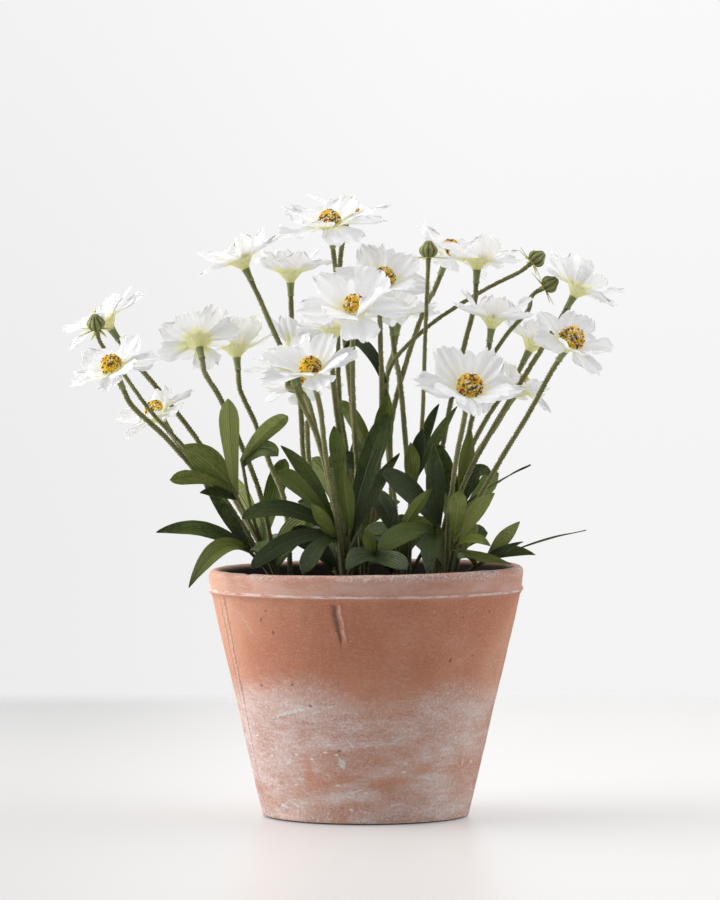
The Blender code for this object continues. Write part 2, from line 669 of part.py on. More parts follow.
def bud_pieces(name, spray, foot, facing, host, via, routes):
    """A bud on its twig: the ribbed bud and the thin sepals that spread under it."""
    way = Vector(facing).normalized()
    points = stem_start(name, spray, host, via, routes)
    route = smooth_route([*points, Vector(foot) - way * 8, Vector(foot) + way * 1.5], STEM_RINGS)
    pieces = [tube("twig", route, [TWIG_RADIUS] * len(route), STEM_SIDES)]
    bm = bmesh.new()
    rings = []
    for up, out in BUD_OUTLINE:
        ring = []
        for corner in range(2 * BUD_RIBS):
            angle = math.pi * corner / BUD_RIBS
            reach = BUD_RADIUS * out * (1.0 if corner % 2 else BUD_GROOVE)
            ring.append(bm.verts.new(metres((
                reach * math.cos(angle), reach * math.sin(angle), up * BUD_HEIGHT))))
        rings.append(ring)
    for lower, upper in zip(rings, rings[1:]):
        for corner in range(2 * BUD_RIBS):
            after = (corner + 1) % (2 * BUD_RIBS)
            bm.faces.new((lower[corner], lower[after], upper[after], upper[corner]))
    bm.faces.new(rings[0])
    tip = bm.verts.new(metres((0, 0, BUD_HEIGHT)))
    for corner in range(2 * BUD_RIBS):
        bm.faces.new((rings[-1][corner], rings[-1][(corner + 1) % (2 * BUD_RIBS)], tip))
    bud = finished("bud", bm)
    move_to(bud, foot, facing)
    pieces.append(bud)
    for index in range(BUD_RIBS):
        angle = math.tau * index / BUD_RIBS
        out = Vector((math.cos(angle), math.sin(angle), SEPAL_DROOP))
        start = Vector(foot) + way * 0.9
        end = start + axes_along(facing) @ (out * SEPAL_LENGTH)
        pieces.append(blade("sepal", start, end, SEPAL_WIDTH, 1.0, way, SEPAL_THICKNESS, 1))
    return pieces


def blade(name, start, end, width, arch, face, thickness, rows=3):
    """A leaf lobe or sepal: widest past its middle, arched, thick along its middle."""
    start, end = Vector(start), Vector(end)
    bend = (start + end) / 2 + Vector((0, 0, 2 * arch))
    shares = BLADE_SHAPES[rows]
    bm = bmesh.new()

    def along(t):
        return start * (1 - t) ** 2 + bend * (2 * t * (1 - t)) + end * t ** 2

    spine = []
    for t, share in shares:
        ahead = (along(t + 0.02) - along(t - 0.02)).normalized()
        side = ahead.cross(Vector(face)).normalized()
        normal = side.cross(ahead).normalized()
        middle = along(t)
        edges = []
        for sign in (-1, 1):
            edge = middle + side * (sign * share * width) + normal * (LOBE_DISH * width)
            edges.append(bm.verts.new(edge * MM))
        skins = [bm.verts.new((middle + normal * (sign * thickness / 2)) * MM) for sign in (1, -1)]
        spine.append((*edges, *skins))
    root = bm.verts.new(start * MM)
    tip = bm.verts.new(end * MM)
    for skin in (2, 3):
        first, last = spine[0], spine[-1]
        bm.faces.new((root, first[0], first[skin]))
        bm.faces.new((root, first[skin], first[1]))
        for lower, upper in zip(spine, spine[1:]):
            bm.faces.new((lower[0], upper[0], lower[skin]))
            bm.faces.new((upper[0], upper[skin], lower[skin]))
            bm.faces.new((lower[1], lower[skin], upper[1]))
            bm.faces.new((upper[1], lower[skin], upper[skin]))
        bm.faces.new((tip, last[skin], last[0]))
        bm.faces.new((tip, last[1], last[skin]))
    return finished(name, bm)


def leaf_pieces(spray, stalk, lobes):
    x, y = CROWNS[spray]
    angle = math.atan2(stalk[0][1] - y, stalk[0][0] - x)
    start = (x + STALK_SPREAD * math.cos(angle), y + STALK_SPREAD * math.sin(angle), CROWN_TOP - 5)
    route = smooth_route([start, *stalk], 3)
    pieces = [tube("stalk", route, [TWIG_RADIUS] * len(route), STALK_SIDES)]
    down = (route[-2] - route[-1]).normalized()
    for index, (tip, width, arch, face) in enumerate(lobes):
        start = route[-1] + down * (0.8 + LOBE_STEP * index)
        rows = 3 if abs(arch) > 4 else 2
        pieces.append(blade("lobe", start, tip, width, arch, face, LOBE_THICKNESS, rows))
    return pieces


def make_spray(spray, material):
    x, y = CROWNS[spray]
    bm = bmesh.new()
    bmesh.ops.create_cone(
        bm, cap_ends=True, segments=CROWN_SIDES, radius1=CROWN_RADIUS * MM,
        radius2=CROWN_RADIUS * MM, depth=(CROWN_TOP - CROWN_BOTTOM) * MM,
        matrix=Matrix.Translation(metres((x, y, (CROWN_TOP + CROWN_BOTTOM) / 2))))
    pieces = [finished("crown", bm)]
    routes = {}
    for number, (owner, centre, facing, _, _, host, via) in BLOOMS.items():
        if owner == spray:
            routes[number], stem = bloom_stem(number, spray, centre, facing, host, via, routes)
            pieces.append(stem)
    for name, (owner, foot, facing, host, via) in BUDS.items():
        if owner == spray:
            pieces += bud_pieces(name, spray, foot, facing, host, via, routes)
    for owner, stalk, lobes in LEAVES:
        if owner == spray:
            pieces += leaf_pieces(spray, stalk, lobes)
    return fused("spray_" + spray, pieces, material)


def main():
    for old in list(bpy.data.objects):
        bpy.data.objects.remove(old)
    clay = principled("aged_clay", (0.54, 0.30, 0.20), 0.85)
    earth = principled("dark_soil", (0.045, 0.032, 0.022), 1.0)
    green = principled("leaf_green", (0.085, 0.16, 0.035), 0.7)
    white = principled("petal_white", (0.86, 0.86, 0.82), 0.6)
    yellow = principled("pollen_yellow", (0.75, 0.40, 0.03), 0.8)
    make_pot(clay)
    make_soil(earth)
    for spray in CROWNS:
        make_spray(spray, green)
    for number, (_, centre, facing, lift, radius, _, _) in BLOOMS.items():
        make_petals(number, centre, facing, lift, radius, white)
        make_disc(number, centre, facing, yellow)


main()
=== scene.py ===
"""White cloth daisies in an aged clay pot, dressed for a studio picture.

Each node of the frame gets a finer piece of the same form. Places are written in millimetres,
in the frame's own axes, and are the same as in the part's source.
"""

import math
import random

import bmesh
import bpy
from mathutils import Matrix, Vector, noise


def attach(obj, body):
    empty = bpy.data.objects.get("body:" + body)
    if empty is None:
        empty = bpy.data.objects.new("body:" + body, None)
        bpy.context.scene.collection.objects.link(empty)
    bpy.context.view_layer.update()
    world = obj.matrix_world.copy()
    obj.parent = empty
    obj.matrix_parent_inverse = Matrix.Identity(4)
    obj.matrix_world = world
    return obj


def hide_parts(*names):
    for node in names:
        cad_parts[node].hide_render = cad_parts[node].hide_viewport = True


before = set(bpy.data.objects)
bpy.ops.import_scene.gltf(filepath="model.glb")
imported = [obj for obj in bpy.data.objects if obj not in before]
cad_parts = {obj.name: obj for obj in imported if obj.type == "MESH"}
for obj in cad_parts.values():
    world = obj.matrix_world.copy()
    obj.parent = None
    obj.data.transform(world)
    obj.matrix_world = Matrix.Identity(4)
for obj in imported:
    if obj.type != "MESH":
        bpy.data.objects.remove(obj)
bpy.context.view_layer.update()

MM = 0.001
SEED = 41
UP = (0, 0, 1)
FRONT = (0, -1, 0.4)
BACK = (0, 1, 0.4)
TOP = (0, -0.8, 0.6)

# Pot, soil and the stubs of the sprays.
POT_HEIGHT = 157.5
POT_STEPS = 288
FOOT_RADIUS = 66.0
FOOT_ROUND = 3.0
BODY_TOP_RADIUS = 97.6
RIDGE_RADIUS = 99.9
RIDGE_HEIGHT = 143.5
RIDGE_WIDTH = 2.2
BAND_RADIUS = 99.0
RIM_RADIUS = 99.9
RIM_INNER_RADIUS = 92.0
# Marks on the wall are placed as if all of it had this radius.
WALL_RADIUS = 98.0
POT_FLOOR = 11.0
WALL_TOP = 139.5
WALL_TOP_INNER_RADIUS = 90.6
WALL_FOOT_INNER_RADIUS = 60.0
RIM_TILT = 0.014
RIDGE_TILT = 0.006
SOIL_LEVEL = 134.0
SOIL_MOUND = 5.0
SOIL_CRUMBS = 260
SOIL_RINGS = 30
SOIL_STEPS = 96
CROWN_TOP = 146.0
# Heights and radii of a crown.
CROWN_OUTLINE = ((128, 6.3), (134, 6.3), (139, 6.1), (143, 5.7), (145.5, 4.8), (146.5, 2.5))
CROWN_SIDES = 14
# How far from the crown's middle stems and leaf stalks leave it, and how far under its top.
CROWN_SPREAD = 3.7
CROWN_DEPTH = 12.0
STEM_DEPTH = 7.0
STALK_SPREAD = 1.8
STALK_DEPTH = 5.0

# Stems and buds.
STEM_RADIUS = 1.8
TWIG_RADIUS = 1.4
STEM_SIDES = 9
HOST_RINGS = 24
SPAN_STEPS = 16
RING_GAP = 0.95
# A stem is thinner between its tufts than its full radius. A tuft rises more than TUFT_RISE.
STEM_SKIN = 0.32
TWIG_SKIN = 0.22
TUFT_SHARE = 0.82
TUFT_RISE = 0.25
TUFT_TINT = -0.45
# A pale line runs down one corner of each stem, on its left side where the light falls: a painted
# highlight of the lit edge. This is that corner and its tint.
LIT_EDGE_CORNER = 4
LIT_EDGE_TINT = -1.0
CALYX_LENGTH = 9.0
STRAIGHT_UNDER_CALYX = 12.0
# Outline of the calyx above its foot, as distance and radius.
CALYX_OUTLINE = (
    (0.0, 1.75), (0.5, 2.2), (1.2, 2.25), (1.9, 2.0), (3.5, 2.05), (5.5, 2.25), (7.5, 2.5),
    (8.8, 2.75), (9.3, 2.8))
BUD_RADIUS = 5.8
BUD_HEIGHT = 9.5
BUD_RIBS = 10
# Rings of a twig that widen towards its bud, and how far.
FLARE_RINGS = 9
FLARE = 0.45
SEPALS = 7
SEPAL_LENGTH = 12.5
SEPAL_WIDTH = 2.2
SEPAL_DROOP = -0.12

# Blooms.
RECEPTACLE_HEIGHT = 7.0
RECEPTACLE_GAP = 0.3
ROOT_RADIUS = 6.6
ROOT_HEIGHT = -1.2
PETALS = 8
PETAL_START = 5.0
PETAL_GRID = (14, 28)
PETAL_WIDTH = 10.4
FULL_LENGTH = 30.0
LAYER_SPREAD = 28.0
STEEPEST = 64.0
DISC_RADIUS = 6.9
DISC_HEIGHT = 8.2
GRAINS = 270
# Discs that are larger or smaller than most, by their scale.
DISC_SCALES = {"24": 1.12, "25": 1.14, "02": 0.94, "03": 0.94, "06": 0.96}
PETAL_SKIN = 0.14

# The middle of the winding of the thread, and its number of points.
THREAD_PLACE = (-87.0, -13.0, 203.0)
THREAD_STEPS = 40
THREAD_TURNS = 2
# How far from its middle the thread runs, to the side and in depth.
THREAD_REACH = (7.2, 5.8)

# Leaves.
STALK_SIDES = 7
STALK_GAP = 1.2
LOBE_START = 0.8
LOBE_STEP = 2.4
LOBE_COLUMNS = 10
LOBE_GAP = 2.6
LEAF_SKIN = 0.45

# The crack under the ridge, on the part of the pot in front of FRONT_SIDE.
FRONT_SIDE = -40
CRACK_TOP = 141.0
CRACK_FOOT = 111.0

# Camera and light.
CAMERA_PLACE = (0.0, -3.3, 0.34)
CAMERA_AIM = (-0.0038, 0.0, 0.2316)
LENS = 208.56
FRONT_LIGHT = 0.03
BACK_LIGHT = 0.74

CROWNS = {
    "left": (-51, 4),
    "front_left": (-10, -40),
    "centre": (-5, 24),
    "centre_right": (23, -8),
    "right": (43, 32),
    "far_right": (50, -24),
}

# Bloom: its spray, the middle of its face, the way it looks, petal lift in degrees, radius, and
# the points that its stem passes.
BLOOMS = {
    "01": ("left", (-167, 30, 314), (-0.57, -0.08, 0.82), 14, 30,
           ((-82, 22, 196), (-106, 36, 234), (-129, 40, 264))),
    "02": ("left", (-158, -50, 285), (-0.38, -0.42, 0.83), 8, 29,
           ((-81, -14, 184), (-96, -22, 205), (-125, -34, 240))),
    "03": ("left", (-133, 12, 255), (-0.55, -0.20, 0.81), 12, 28,
           ((-85, 6, 192), (-109, 10, 221))),
    "04": ("left", (-107, 18, 301), (-0.18, 0.66, 0.73), 12, 29,
           ((-66, 0, 200), (-82, -4, 242), (-93, -6, 266))),
    "05": ("left", (-84, 62, 296), (-0.10, 0.30, 0.95), 42, 25,
           ((-52, 26, 198), (-61, 38, 220), (-72, 50, 249))),
    "06": ("front_left", (-34, -78, 284), (-0.20, -0.42, 0.88), 18, 31,
           ((-18, -50, 190), (-25, -62, 230))),
    "07": ("front_left", (-50, -34, 288), (-0.35, -0.10, 0.93), 26, 25,
           ((-20, -38, 195), (-30, -36, 239))),
    "08": ("centre", (-42, 84, 272), (-0.22, -0.30, 0.92), 2, 28,
           ((-23, 34, 183), (-35, 50, 214), (-38, 70, 246))),
    "09": ("front_left", (-44, 27, 299), (0.20, 0.10, 0.95), 60, 16,
           ((-19, -28, 198), (-30, -12, 238), (-39, 8, 266))),
    "10": ("front_left", (-80, 30, 353), (-0.42, 0.06, 0.90), 24, 29,
           ((-20, -24, 201), (-30, -6, 237), (-42, 10, 270), (-59, 18, 307))),
    "11": ("centre", (-49, 64, 345), (-0.03, 0.00, 1.00), 38, 24,
           ((-24, 30, 186), (-38, 40, 214), (-42, 52, 256), (-46, 60, 297))),
    "12": ("centre", (-23, 6, 375), (-0.12, -0.24, 0.96), 8, 35,
           ((-6, 20, 218), (-11, 15, 279), (-18, 9, 336))),
    "13": ("centre", (-12, 60, 384), (0.15, 0.00, 0.99), 8, 30,
           ((-10, 30, 212), (-17, 40, 262), (-18, 50, 314))),
    "14": ("centre", (-7, -60, 322), (0.05, -0.52, 0.85), 14, 36,
           ((-4, 2, 187), (-5, -8, 212), (-8, -33, 264))),
    "15": ("centre", (-21, -14, 309), (0.00, 0.10, 0.99), 22, 26,
           ((-10, 17, 199), (-18, 2, 251))),
    "16": ("centre", (11, -13, 339), (0.08, -0.62, 0.78), 22, 29,
           ((8, 16, 222), (10, 8, 266), (9, 2, 304))),
    "17": ("centre_right", (16, 42, 319), (-0.08, -0.35, 0.93), 20, 27,
           ((28, 0, 200), (25, 14, 238), (22, 30, 272))),
    "18": ("centre_right", (22, 88, 319), (0.15, 0.10, 0.98), 18, 28,
           ((18, 14, 199), (13, 42, 243), (14, 68, 280))),
    "19": ("centre_right", (54, 77, 357), (0.36, -0.25, 0.90), 6, 29,
           ((16, 8, 212), (16, 24, 247), (26, 46, 287), (40, 70, 326))),
    "20": ("right", (71, 22, 353), (0.06, 0.10, 0.99), 13, 30,
           ((45, 30, 199), (53, 26, 256), (62, 22, 295))),
    "21": ("right", (80, -14, 316), (0.14, 0.03, 0.99), 28, 28,
           ((59, 18, 206), (67, 2, 251))),
    "22": ("right", (108, 54, 300), (0.45, 0.10, 0.88), 30, 27,
           ((58, 36, 208), (71, 42, 239), (85, 48, 262))),
    "23": ("far_right", (135, 4, 335), (0.50, 0.10, 0.86), 20, 30,
           ((59, -21, 204), (76, -20, 239), (102, -12, 282))),
    "24": ("far_right", (128, -34, 301), (0.45, -0.45, 0.77), 12, 29,
           ((63, -27, 185), (82, -28, 222), (103, -28, 257))),
    "25": ("far_right", (64, -76, 272), (0.12, -0.62, 0.78), 20, 33,
           ((52, -40, 192), (57, -54, 232))),
    "26": ("right", (97, 19, 271), (0.50, 0.22, 0.84), 14, 25,
           ((55, 26, 199), (69, 18, 226))),
}

# Petal that stands up over the disc: the side of the bloom that it is on and its extra lift,
# both in degrees. On a bloom that looks up, -90 is the front.
RAISED = {
    "01": (-60, 36), "03": (-20, 28), "10": (-90, 24), "14": (-55, 44), "16": (-140, 28),
    "19": (170, 34), "20": (-80, 32), "21": (-100, 32), "22": (-90, 16), "23": (-110, 40),
    "25": (-95, 14),
}

# Bud: its spray, the middle of its foot, the way it looks, and the points that its twig passes.
BUDS = {
    "a": ("left", (-169, -22, 308), (-0.15, -0.45, 0.88),
          ((-85, -8, 195), (-113, -16, 232), (-136, -18, 257), (-156, -17, 285))),
    "b": ("centre_right", (39, -32, 353), (0.03, 0.00, 1.00),
          ((30, -14, 204), (35, -20, 245), (37, -30, 300))),
    "c": ("centre_right", (106, 52, 350), (0.78, 0.08, 0.62),
          ((18, 2, 200), (13, 16, 250), (15, 26, 282), (38, 36, 308), (78, 46, 334))),
    "d": ("right", (113, 24, 334), (0.82, -0.10, 0.52),
          ((77, -13, 289), (90, -2, 306), (103, 12, 320))),
}

# A bud whose twig leaves the stem of a bloom, and that bloom. All others leave the crown.
HOSTS = {"d": "21"}

# Leaf: its spray, the points of its stalk from the crown to the joint of its lobes, and the
# lobes. A lobe has its tip, width, the height of its arch, and the way its upper side looks.
LEAVES = (
    ("left", ((-68, -20, 176), (-84, -34, 209)), (
        ((-115, -48, 236), 18, 3, (-0.4, 0.8, 0.3)), ((-122, -58, 215), 10, 4, BACK),
        ((-86, -50, 265), 13, 0, BACK), ((-104, -44, 206), 8, 2, FRONT))),
    ("left", ((-70, -22, 186), (-78, -30, 226)), (
        ((-49, -56, 254), 11, 4, BACK), ((-55, -44, 229), 11, 7, FRONT))),
    ("left", ((-62, -16, 156), (-76, -32, 172)), (
        ((-131, -44, 181), 12, 7, TOP), ((-110, -66, 148), 13, 12, TOP),
        ((-101, -30, 210), 9, 2, FRONT), ((-60, -56, 166), 12, 6, TOP))),
    ("left", ((-60, 16, 158), (-68, 34, 178)), (
        ((-94, 58, 216), 13, 5, BACK), ((-70, 80, 190), 14, 9, UP), ((-86, 46, 176), 12, 6, TOP),
        ((-52, 48, 224), 13, 3, FRONT))),
    ("front_left", ((-16, -44, 165), (-21, -48, 187)), (
        ((-53, -52, 236), 11, 5, TOP), ((-55, -62, 220), 12, 4, FRONT),
        ((-77, -66, 192), 13, 9, TOP), ((-71, -70, 160), 13, 8, TOP),
        ((-39, -80, 157), 12, 7, TOP), ((-34, -64, 201), 9, 1, BACK))),
    ("front_left", ((-12, -44, 165), (-10, -47, 184)), (
        ((-15, -58, 222), 10, 1, BACK), ((-20, -42, 248), 10, 2, FRONT),
        ((14, -36, 256), 14, 5, FRONT), ((21, -33, 231), 9, 4, TOP))),
    ("front_left", ((-10, -52, 158), (6, -66, 168)), (
        ((-12, -97, 161), 14, 4, TOP), ((0, -74, 185), 8, 1, BACK), ((25, -92, 161), 14, 4, TOP))),
    ("centre", ((-12, 42, 160), (-12, 52, 180)), (
        ((-34, 76, 224), 13, 5, BACK), ((8, 84, 214), 14, 6, BACK), ((-4, 66, 246), 12, 2, FRONT),
        ((-44, 62, 196), 14, 7, FRONT), ((22, 66, 196), 14, 7, FRONT))),
    ("centre", ((-2, 20, 175), (6, 18, 226)), (
        ((14, -4, 266), 9, 4, FRONT), ((-16, 30, 262), 10, 3, BACK),
        ((-24, 4, 222), 14, 4, FRONT))),
    ("centre", ((-2, 30, 190), (10, 12, 250), (12, 10, 274)), (
        ((-14, -4, 295), 9, 13, TOP), ((15, 0, 234), 8, 2, FRONT))),
    ("centre_right", ((26, -20, 172), (29, -24, 212)), (
        ((57, -32, 260), 7, 3, FRONT), ((46, -16, 261), 7, 7, FRONT),
        ((28, -40, 238), 10, 2, BACK), ((36, -34, 246), 9, 6, TOP))),
    ("centre_right", ((32, -26, 162), (46, -40, 186)), (
        ((10, -52, 219), 16, 5, TOP), ((42, -54, 237), 12, 1, FRONT),
        ((8, -66, 171), 14, 6, FRONT), ((38, -78, 157), 13, 6, TOP))),
    ("centre_right", ((20, -26, 160), (20, -44, 180)), (
        ((41, -60, 210), 8, 2, BACK), ((4, -22, 208), 13, 4, FRONT),
        ((-2, -22, 176), 13, 6, TOP))),
    ("right", ((52, 14, 165), (61, 2, 200)), (
        ((66, 0, 246), 10, 1, FRONT), ((79, -8, 215), 13, 10, TOP), ((104, 2, 223), 6, 1, UP),
        ((42, 4, 236), 13, 2, FRONT))),
    ("right", ((52, 46, 160), (60, 56, 178)), (
        ((86, 74, 214), 13, 5, BACK), ((56, 90, 194), 14, 8, UP), ((40, 66, 226), 13, 3, FRONT))),
    ("far_right", ((52, -36, 158), (56, -46, 176)), (
        ((80, -56, 206), 11, 4, BACK), ((77, -66, 175), 8, 4, TOP), ((90, -62, 163), 7, -1, TOP),
        ((58, -60, 208), 11, 1, BACK))),
    ("far_right", ((62, -28, 154), (77, -34, 165)), (
        ((96, -46, 188), 9, 1, BACK), ((138, -28, 183), 5, 1, UP), ((106, -40, 167), 8, 4, TOP),
        ((98, -56, 176), 7, 1, TOP), ((57, -72, 167), 10, 3, TOP))),
    # Short leaves that close the pot over the soil.
    ("left", ((-57, 2, 152), (-59, 1, 159)), (
        ((-38, -18, 188), 15, 4, FRONT), ((-34, 24, 182), 16, 5, TOP),
        ((-64, 78, 172), 15, 8, TOP))),
    ("front_left", ((-17, -37, 152), (-20, -34, 159)), (
        ((-48, -34, 180), 15, 5, FRONT), ((-34, -6, 184), 15, 4, FRONT),
        ((-7, -12, 190), 14, 3, FRONT))),
    ("centre", ((-4, 32, 152), (0, 44, 158)), (
        ((-30, 84, 174), 17, 6, TOP), ((2, 90, 180), 17, 6, TOP), ((32, 82, 172), 17, 6, TOP),
        ((-34, 52, 188), 16, 4, FRONT), ((30, 46, 186), 16, 4, FRONT))),
    ("centre_right", ((18, -4, 152), (15, 0, 158)), (
        ((-6, -4, 186), 15, 4, FRONT), ((36, 12, 188), 15, 4, FRONT),
        ((8, -42, 176), 14, 6, TOP))),
    ("right", ((48, 34, 152), (50, 38, 158)), (
        ((68, 72, 178), 16, 6, TOP), ((22, 64, 182), 16, 5, TOP), ((78, 36, 178), 14, 6, TOP))),
    ("far_right", ((52, -18, 152), (53, -14, 158)), (
        ((30, -22, 188), 15, 4, FRONT), ((68, 2, 186), 15, 4, FRONT))),
)


def axes_along(direction):
    """A matrix whose Z axis looks along the direction, and whose X axis stays near level."""
    z_axis = Vector(direction).normalized()
    side = Vector((1, 0, 0)) if abs(z_axis.x) < 0.9 else Vector((0, 1, 0))
    y_axis = z_axis.cross(side).normalized()
    x_axis = y_axis.cross(z_axis)
    return Matrix((x_axis, y_axis, z_axis)).transposed()


def smooth_route(points, steps):
    """A smooth curve through the given points, as points the same length apart."""
    knots = [Vector(point) for point in points]
    knots = [2 * knots[0] - knots[1], *knots, 2 * knots[-1] - knots[-2]]
    fine = [knots[1]]
    for before, start, end, after in zip(knots, knots[1:], knots[2:], knots[3:]):
        # Centripetal Catmull-Rom: the tangents follow the root of each span's length.
        first, span, last = (math.sqrt((b - a).length) for a, b in (
            (before, start), (start, end), (end, after)))
        middle = (end - start) / span
        leave = span * ((start - before) / first - (end - before) / (first + span) + middle)
        reach = span * (middle - (after - start) / (span + last) + (after - end) / last)
        for step in range(1, SPAN_STEPS + 1):
            t = step / SPAN_STEPS
            fine.append(
                start * (2 * t ** 3 - 3 * t ** 2 + 1) + leave * (t ** 3 - 2 * t ** 2 + t)
                + end * (3 * t ** 2 - 2 * t ** 3) + reach * (t ** 3 - t ** 2))
    done = [0.0]
    for start, end in zip(fine, fine[1:]):
        done.append(done[-1] + (end - start).length)
    route = []
    for step in range(steps):
        wanted = done[-1] * step / steps
        index = max(i for i, length in enumerate(done) if length <= wanted)
        share = (wanted - done[index]) / (done[index + 1] - done[index])
        route.append(fine[index].lerp(fine[index + 1], share))
    return [*route, fine[-1]]


def spaced_route(points, gap):
    """A smooth curve through the given points, as points about that far apart."""
    first, second = smooth_route(points, 12)[:2]
    return smooth_route(points, max(4, round(12 * (second - first).length / gap)))


def between(stations, place):
    """Reads a value off a list of (place, value) stations, straight from one to the next."""
    for (start, low), (end, high) in zip(stations, stations[1:]):
        if place <= end:
            return low + (high - low) * (place - start) / (end - start)
    return stations[-1][1]


def draw_waves(look, counts, heights):
    """Waves along the two long edges of a sheet: how many, where they begin and how high."""
    return [(look.uniform(*counts), look.uniform(0, math.tau), look.uniform(*heights))
            for _ in range(2)]


def edge_wave(waves, along, across):
    """How far the wave of the nearer edge lifts this place of the sheet."""
    count, begin, height = waves[0 if across > 0 else 1]
    return height * abs(across) ** 3 * math.sin(count * along + begin)


def smooth_step(low, high, value):
    """0 at low and 1 at high, with a soft change between. low may be above high."""
    share = min(1.0, max(0.0, (value - low) / (high - low)))
    return share * share * (3 - 2 * share)


# ---- Making pieces ----

def draft():
    """An empty bmesh, worked in millimetres, with the layers that the materials read."""
    bm = bmesh.new()
    bm.verts.layers.float.new("tint")
    bm.verts.layers.float.new("own")
    bm.loops.layers.uv.new("surface")
    return bm


def to_object(name, bm, materials):
    """Puts a finished bmesh in the scene."""
    mesh = bpy.data.meshes.new(name)
    bm.to_mesh(mesh)
    bm.free()
    mesh.shade_smooth()
    for material in materials:
        mesh.materials.append(material)
    made = bpy.data.objects.new(name, mesh)
    bpy.context.scene.collection.objects.link(made)
    return made


def piece(name, bm, materials, nodes):
    """Turns a bmesh into a piece that rides on the root and stands for those nodes."""
    bmesh.ops.scale(bm, vec=(MM, MM, MM), verts=bm.verts)
    made = to_object(name, bm, materials)
    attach(made, "root")
    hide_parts(*nodes)
    return made


def cloth_piece(name, bm, materials, nodes, thickness):
    """A piece of thin sheets. Their backs have the second material."""
    # Keeps the shading of the two sides from running round the cut edge.
    for edge in bm.edges:
        edge.smooth = not edge.is_boundary
    skin = piece(name, bm, materials, nodes).modifiers.new("thickness", "SOLIDIFY")
    skin.thickness = thickness * MM
    skin.offset = 0.0
    skin.material_offset = 1


def sheet(bm, rows, columns, shape, own=0.5, material=0):
    """A grid whose vertices go where shape puts them. It gets the share of the way along, from
    0 to 1, and across, from -1 to 1, and gives back the place and the tint."""
    tint = bm.verts.layers.float["tint"]
    own_value = bm.verts.layers.float["own"]
    surface = bm.loops.layers.uv["surface"]
    made = bmesh.ops.create_grid(bm, x_segments=rows, y_segments=columns, size=1.0)["verts"]
    for vert in made:
        along = (vert.co.x + 1) / 2
        across = vert.co.y
        for loop in vert.link_loops:
            loop[surface].uv = (along, (across + 1) / 2)
        vert.co, vert[tint] = shape(along, across)
        vert[own_value] = own
    if material:
        for face in {face for vert in made for face in vert.link_faces}:
            face.material_index = material
    return made


def rolled(bm, rows, columns, shape, own=0.5, material=0):
    """A sheet that shape rolls up, with its two long sides joined."""
    made = sheet(bm, rows, columns, shape, own, material)
    bmesh.ops.remove_doubles(bm, verts=made, dist=0.001)


def tube(bm, route, radii, sides, tints=None, bumps=None, own=0.5, material=0):
    """A closed tube along a route: a rolled sheet whose first and last rings shrink to a point.
    bumps gives each ring's own rise at each corner. A corner that rises far is a pale tuft, and a tube
    with bumps has a pale line along one corner, a painted highlight on the side that faces the left
    light."""
    route = [route[0], *route, route[-1]]
    radii = [0.0, *radii, 0.0]
    tints = [0.0] * len(route) if tints is None else [tints[0], *tints, tints[-1]]
    rows = len(route) - 1
    frames = []
    side = axes_along(route[2] - route[1]).col[0].copy()
    for index, point in enumerate(route):
        ahead = route[min(index + 2, rows)] - route[max(index - 2, 0)]
        ahead.normalize()
        side = (side - ahead * side.dot(ahead)).normalized()
        frames.append((point, side, ahead.cross(side)))

    def shape(along, across):
        ring = round(along * rows)
        corner = round((across + 1) / 2 * sides) % sides
        angle = -math.tau * corner / sides
        point, side, other = frames[ring]
        radius = radii[ring]
        tint = tints[ring]
        if bumps and 0 < ring < rows:
            rise = bumps[ring - 1][corner]
            radius += rise
            if rise > TUFT_RISE:
                tint = TUFT_TINT
            # Painted highlight: this corner gets a pale tint, for the lit edge of the stem.
            if corner == LIT_EDGE_CORNER and tint < 0.5:
                tint = LIT_EDGE_TINT
        return point + (side * math.cos(angle) + other * math.sin(angle)) * radius, tint

    rolled(bm, rows, sides, shape, own, material)


def turned(bm, profile, steps):
    """Spins a profile of (radius, height) whose ends lie on the axis."""
    corners = [bm.verts.new((radius, 0.0, height)) for radius, height in profile]
    edges = [bm.edges.new(pair) for pair in zip(corners, corners[1:])]
    bmesh.ops.spin(bm, geom=corners + edges, cent=(0, 0, 0), axis=(0, 0, 1), angle=math.tau,
                   steps=steps, use_merge=True, use_duplicate=False)
    bmesh.ops.remove_doubles(bm, verts=bm.verts, dist=0.01)
    bmesh.ops.recalc_face_normals(bm, faces=bm.faces)


def arc(centre, radius, start, end, steps):
    """Points of a round stretch of a profile, between two angles in degrees."""
    for step in range(steps + 1):
        angle = math.radians(start + (end - start) * step / steps)
        yield (centre[0] + radius * math.cos(angle), centre[1] + radius * math.sin(angle))


def stretch(start, end, steps):
    """Points of a straight stretch of a profile, without its start."""
    for step in range(1, steps + 1):
        share = step / steps
        yield (start[0] + (end[0] - start[0]) * share, start[1] + (end[1] - start[1]) * share)


def place_along(bm, at, facing):
    """Moves what was made at the origin, looking up, to where it belongs."""
    matrix = Matrix.Translation(at) @ axes_along(facing).to_4x4()
    bmesh.ops.transform(bm, matrix=matrix, verts=bm.verts)


# ---- Material helpers ----

def feed(node, inputs):
    """Sets the inputs of a node, each to a value or joined to the output that is given."""
    for name, value in inputs.items():
        if isinstance(value, bpy.types.NodeSocket):
            node.id_data.links.new(value, node.inputs[name])
        else:
            node.inputs[name].default_value = value


def add_node(tree, kind, inputs=None, **settings):
    """A new node with its settings, and its inputs fed."""
    made = tree.nodes.new("ShaderNode" + kind)
    for name, value in settings.items():
        setattr(made, name, value)
    feed(made, inputs or {})
    return made


def tree_of(values):
    """The node tree that the outputs among these values belong to."""
    return next(value.id_data for value in values if isinstance(value, bpy.types.NodeSocket))


def calc(operation, *values):
    """One step of arithmetic on outputs and plain numbers."""
    return add_node(tree_of(values), "Math", dict(enumerate(values)), operation=operation).outputs[0]


def times(first, second, plus=None):
    """The product of two values, and a third added where one is given."""
    if plus is None:
        return calc("MULTIPLY", first, second)
    return calc("MULTIPLY_ADD", first, second, plus)


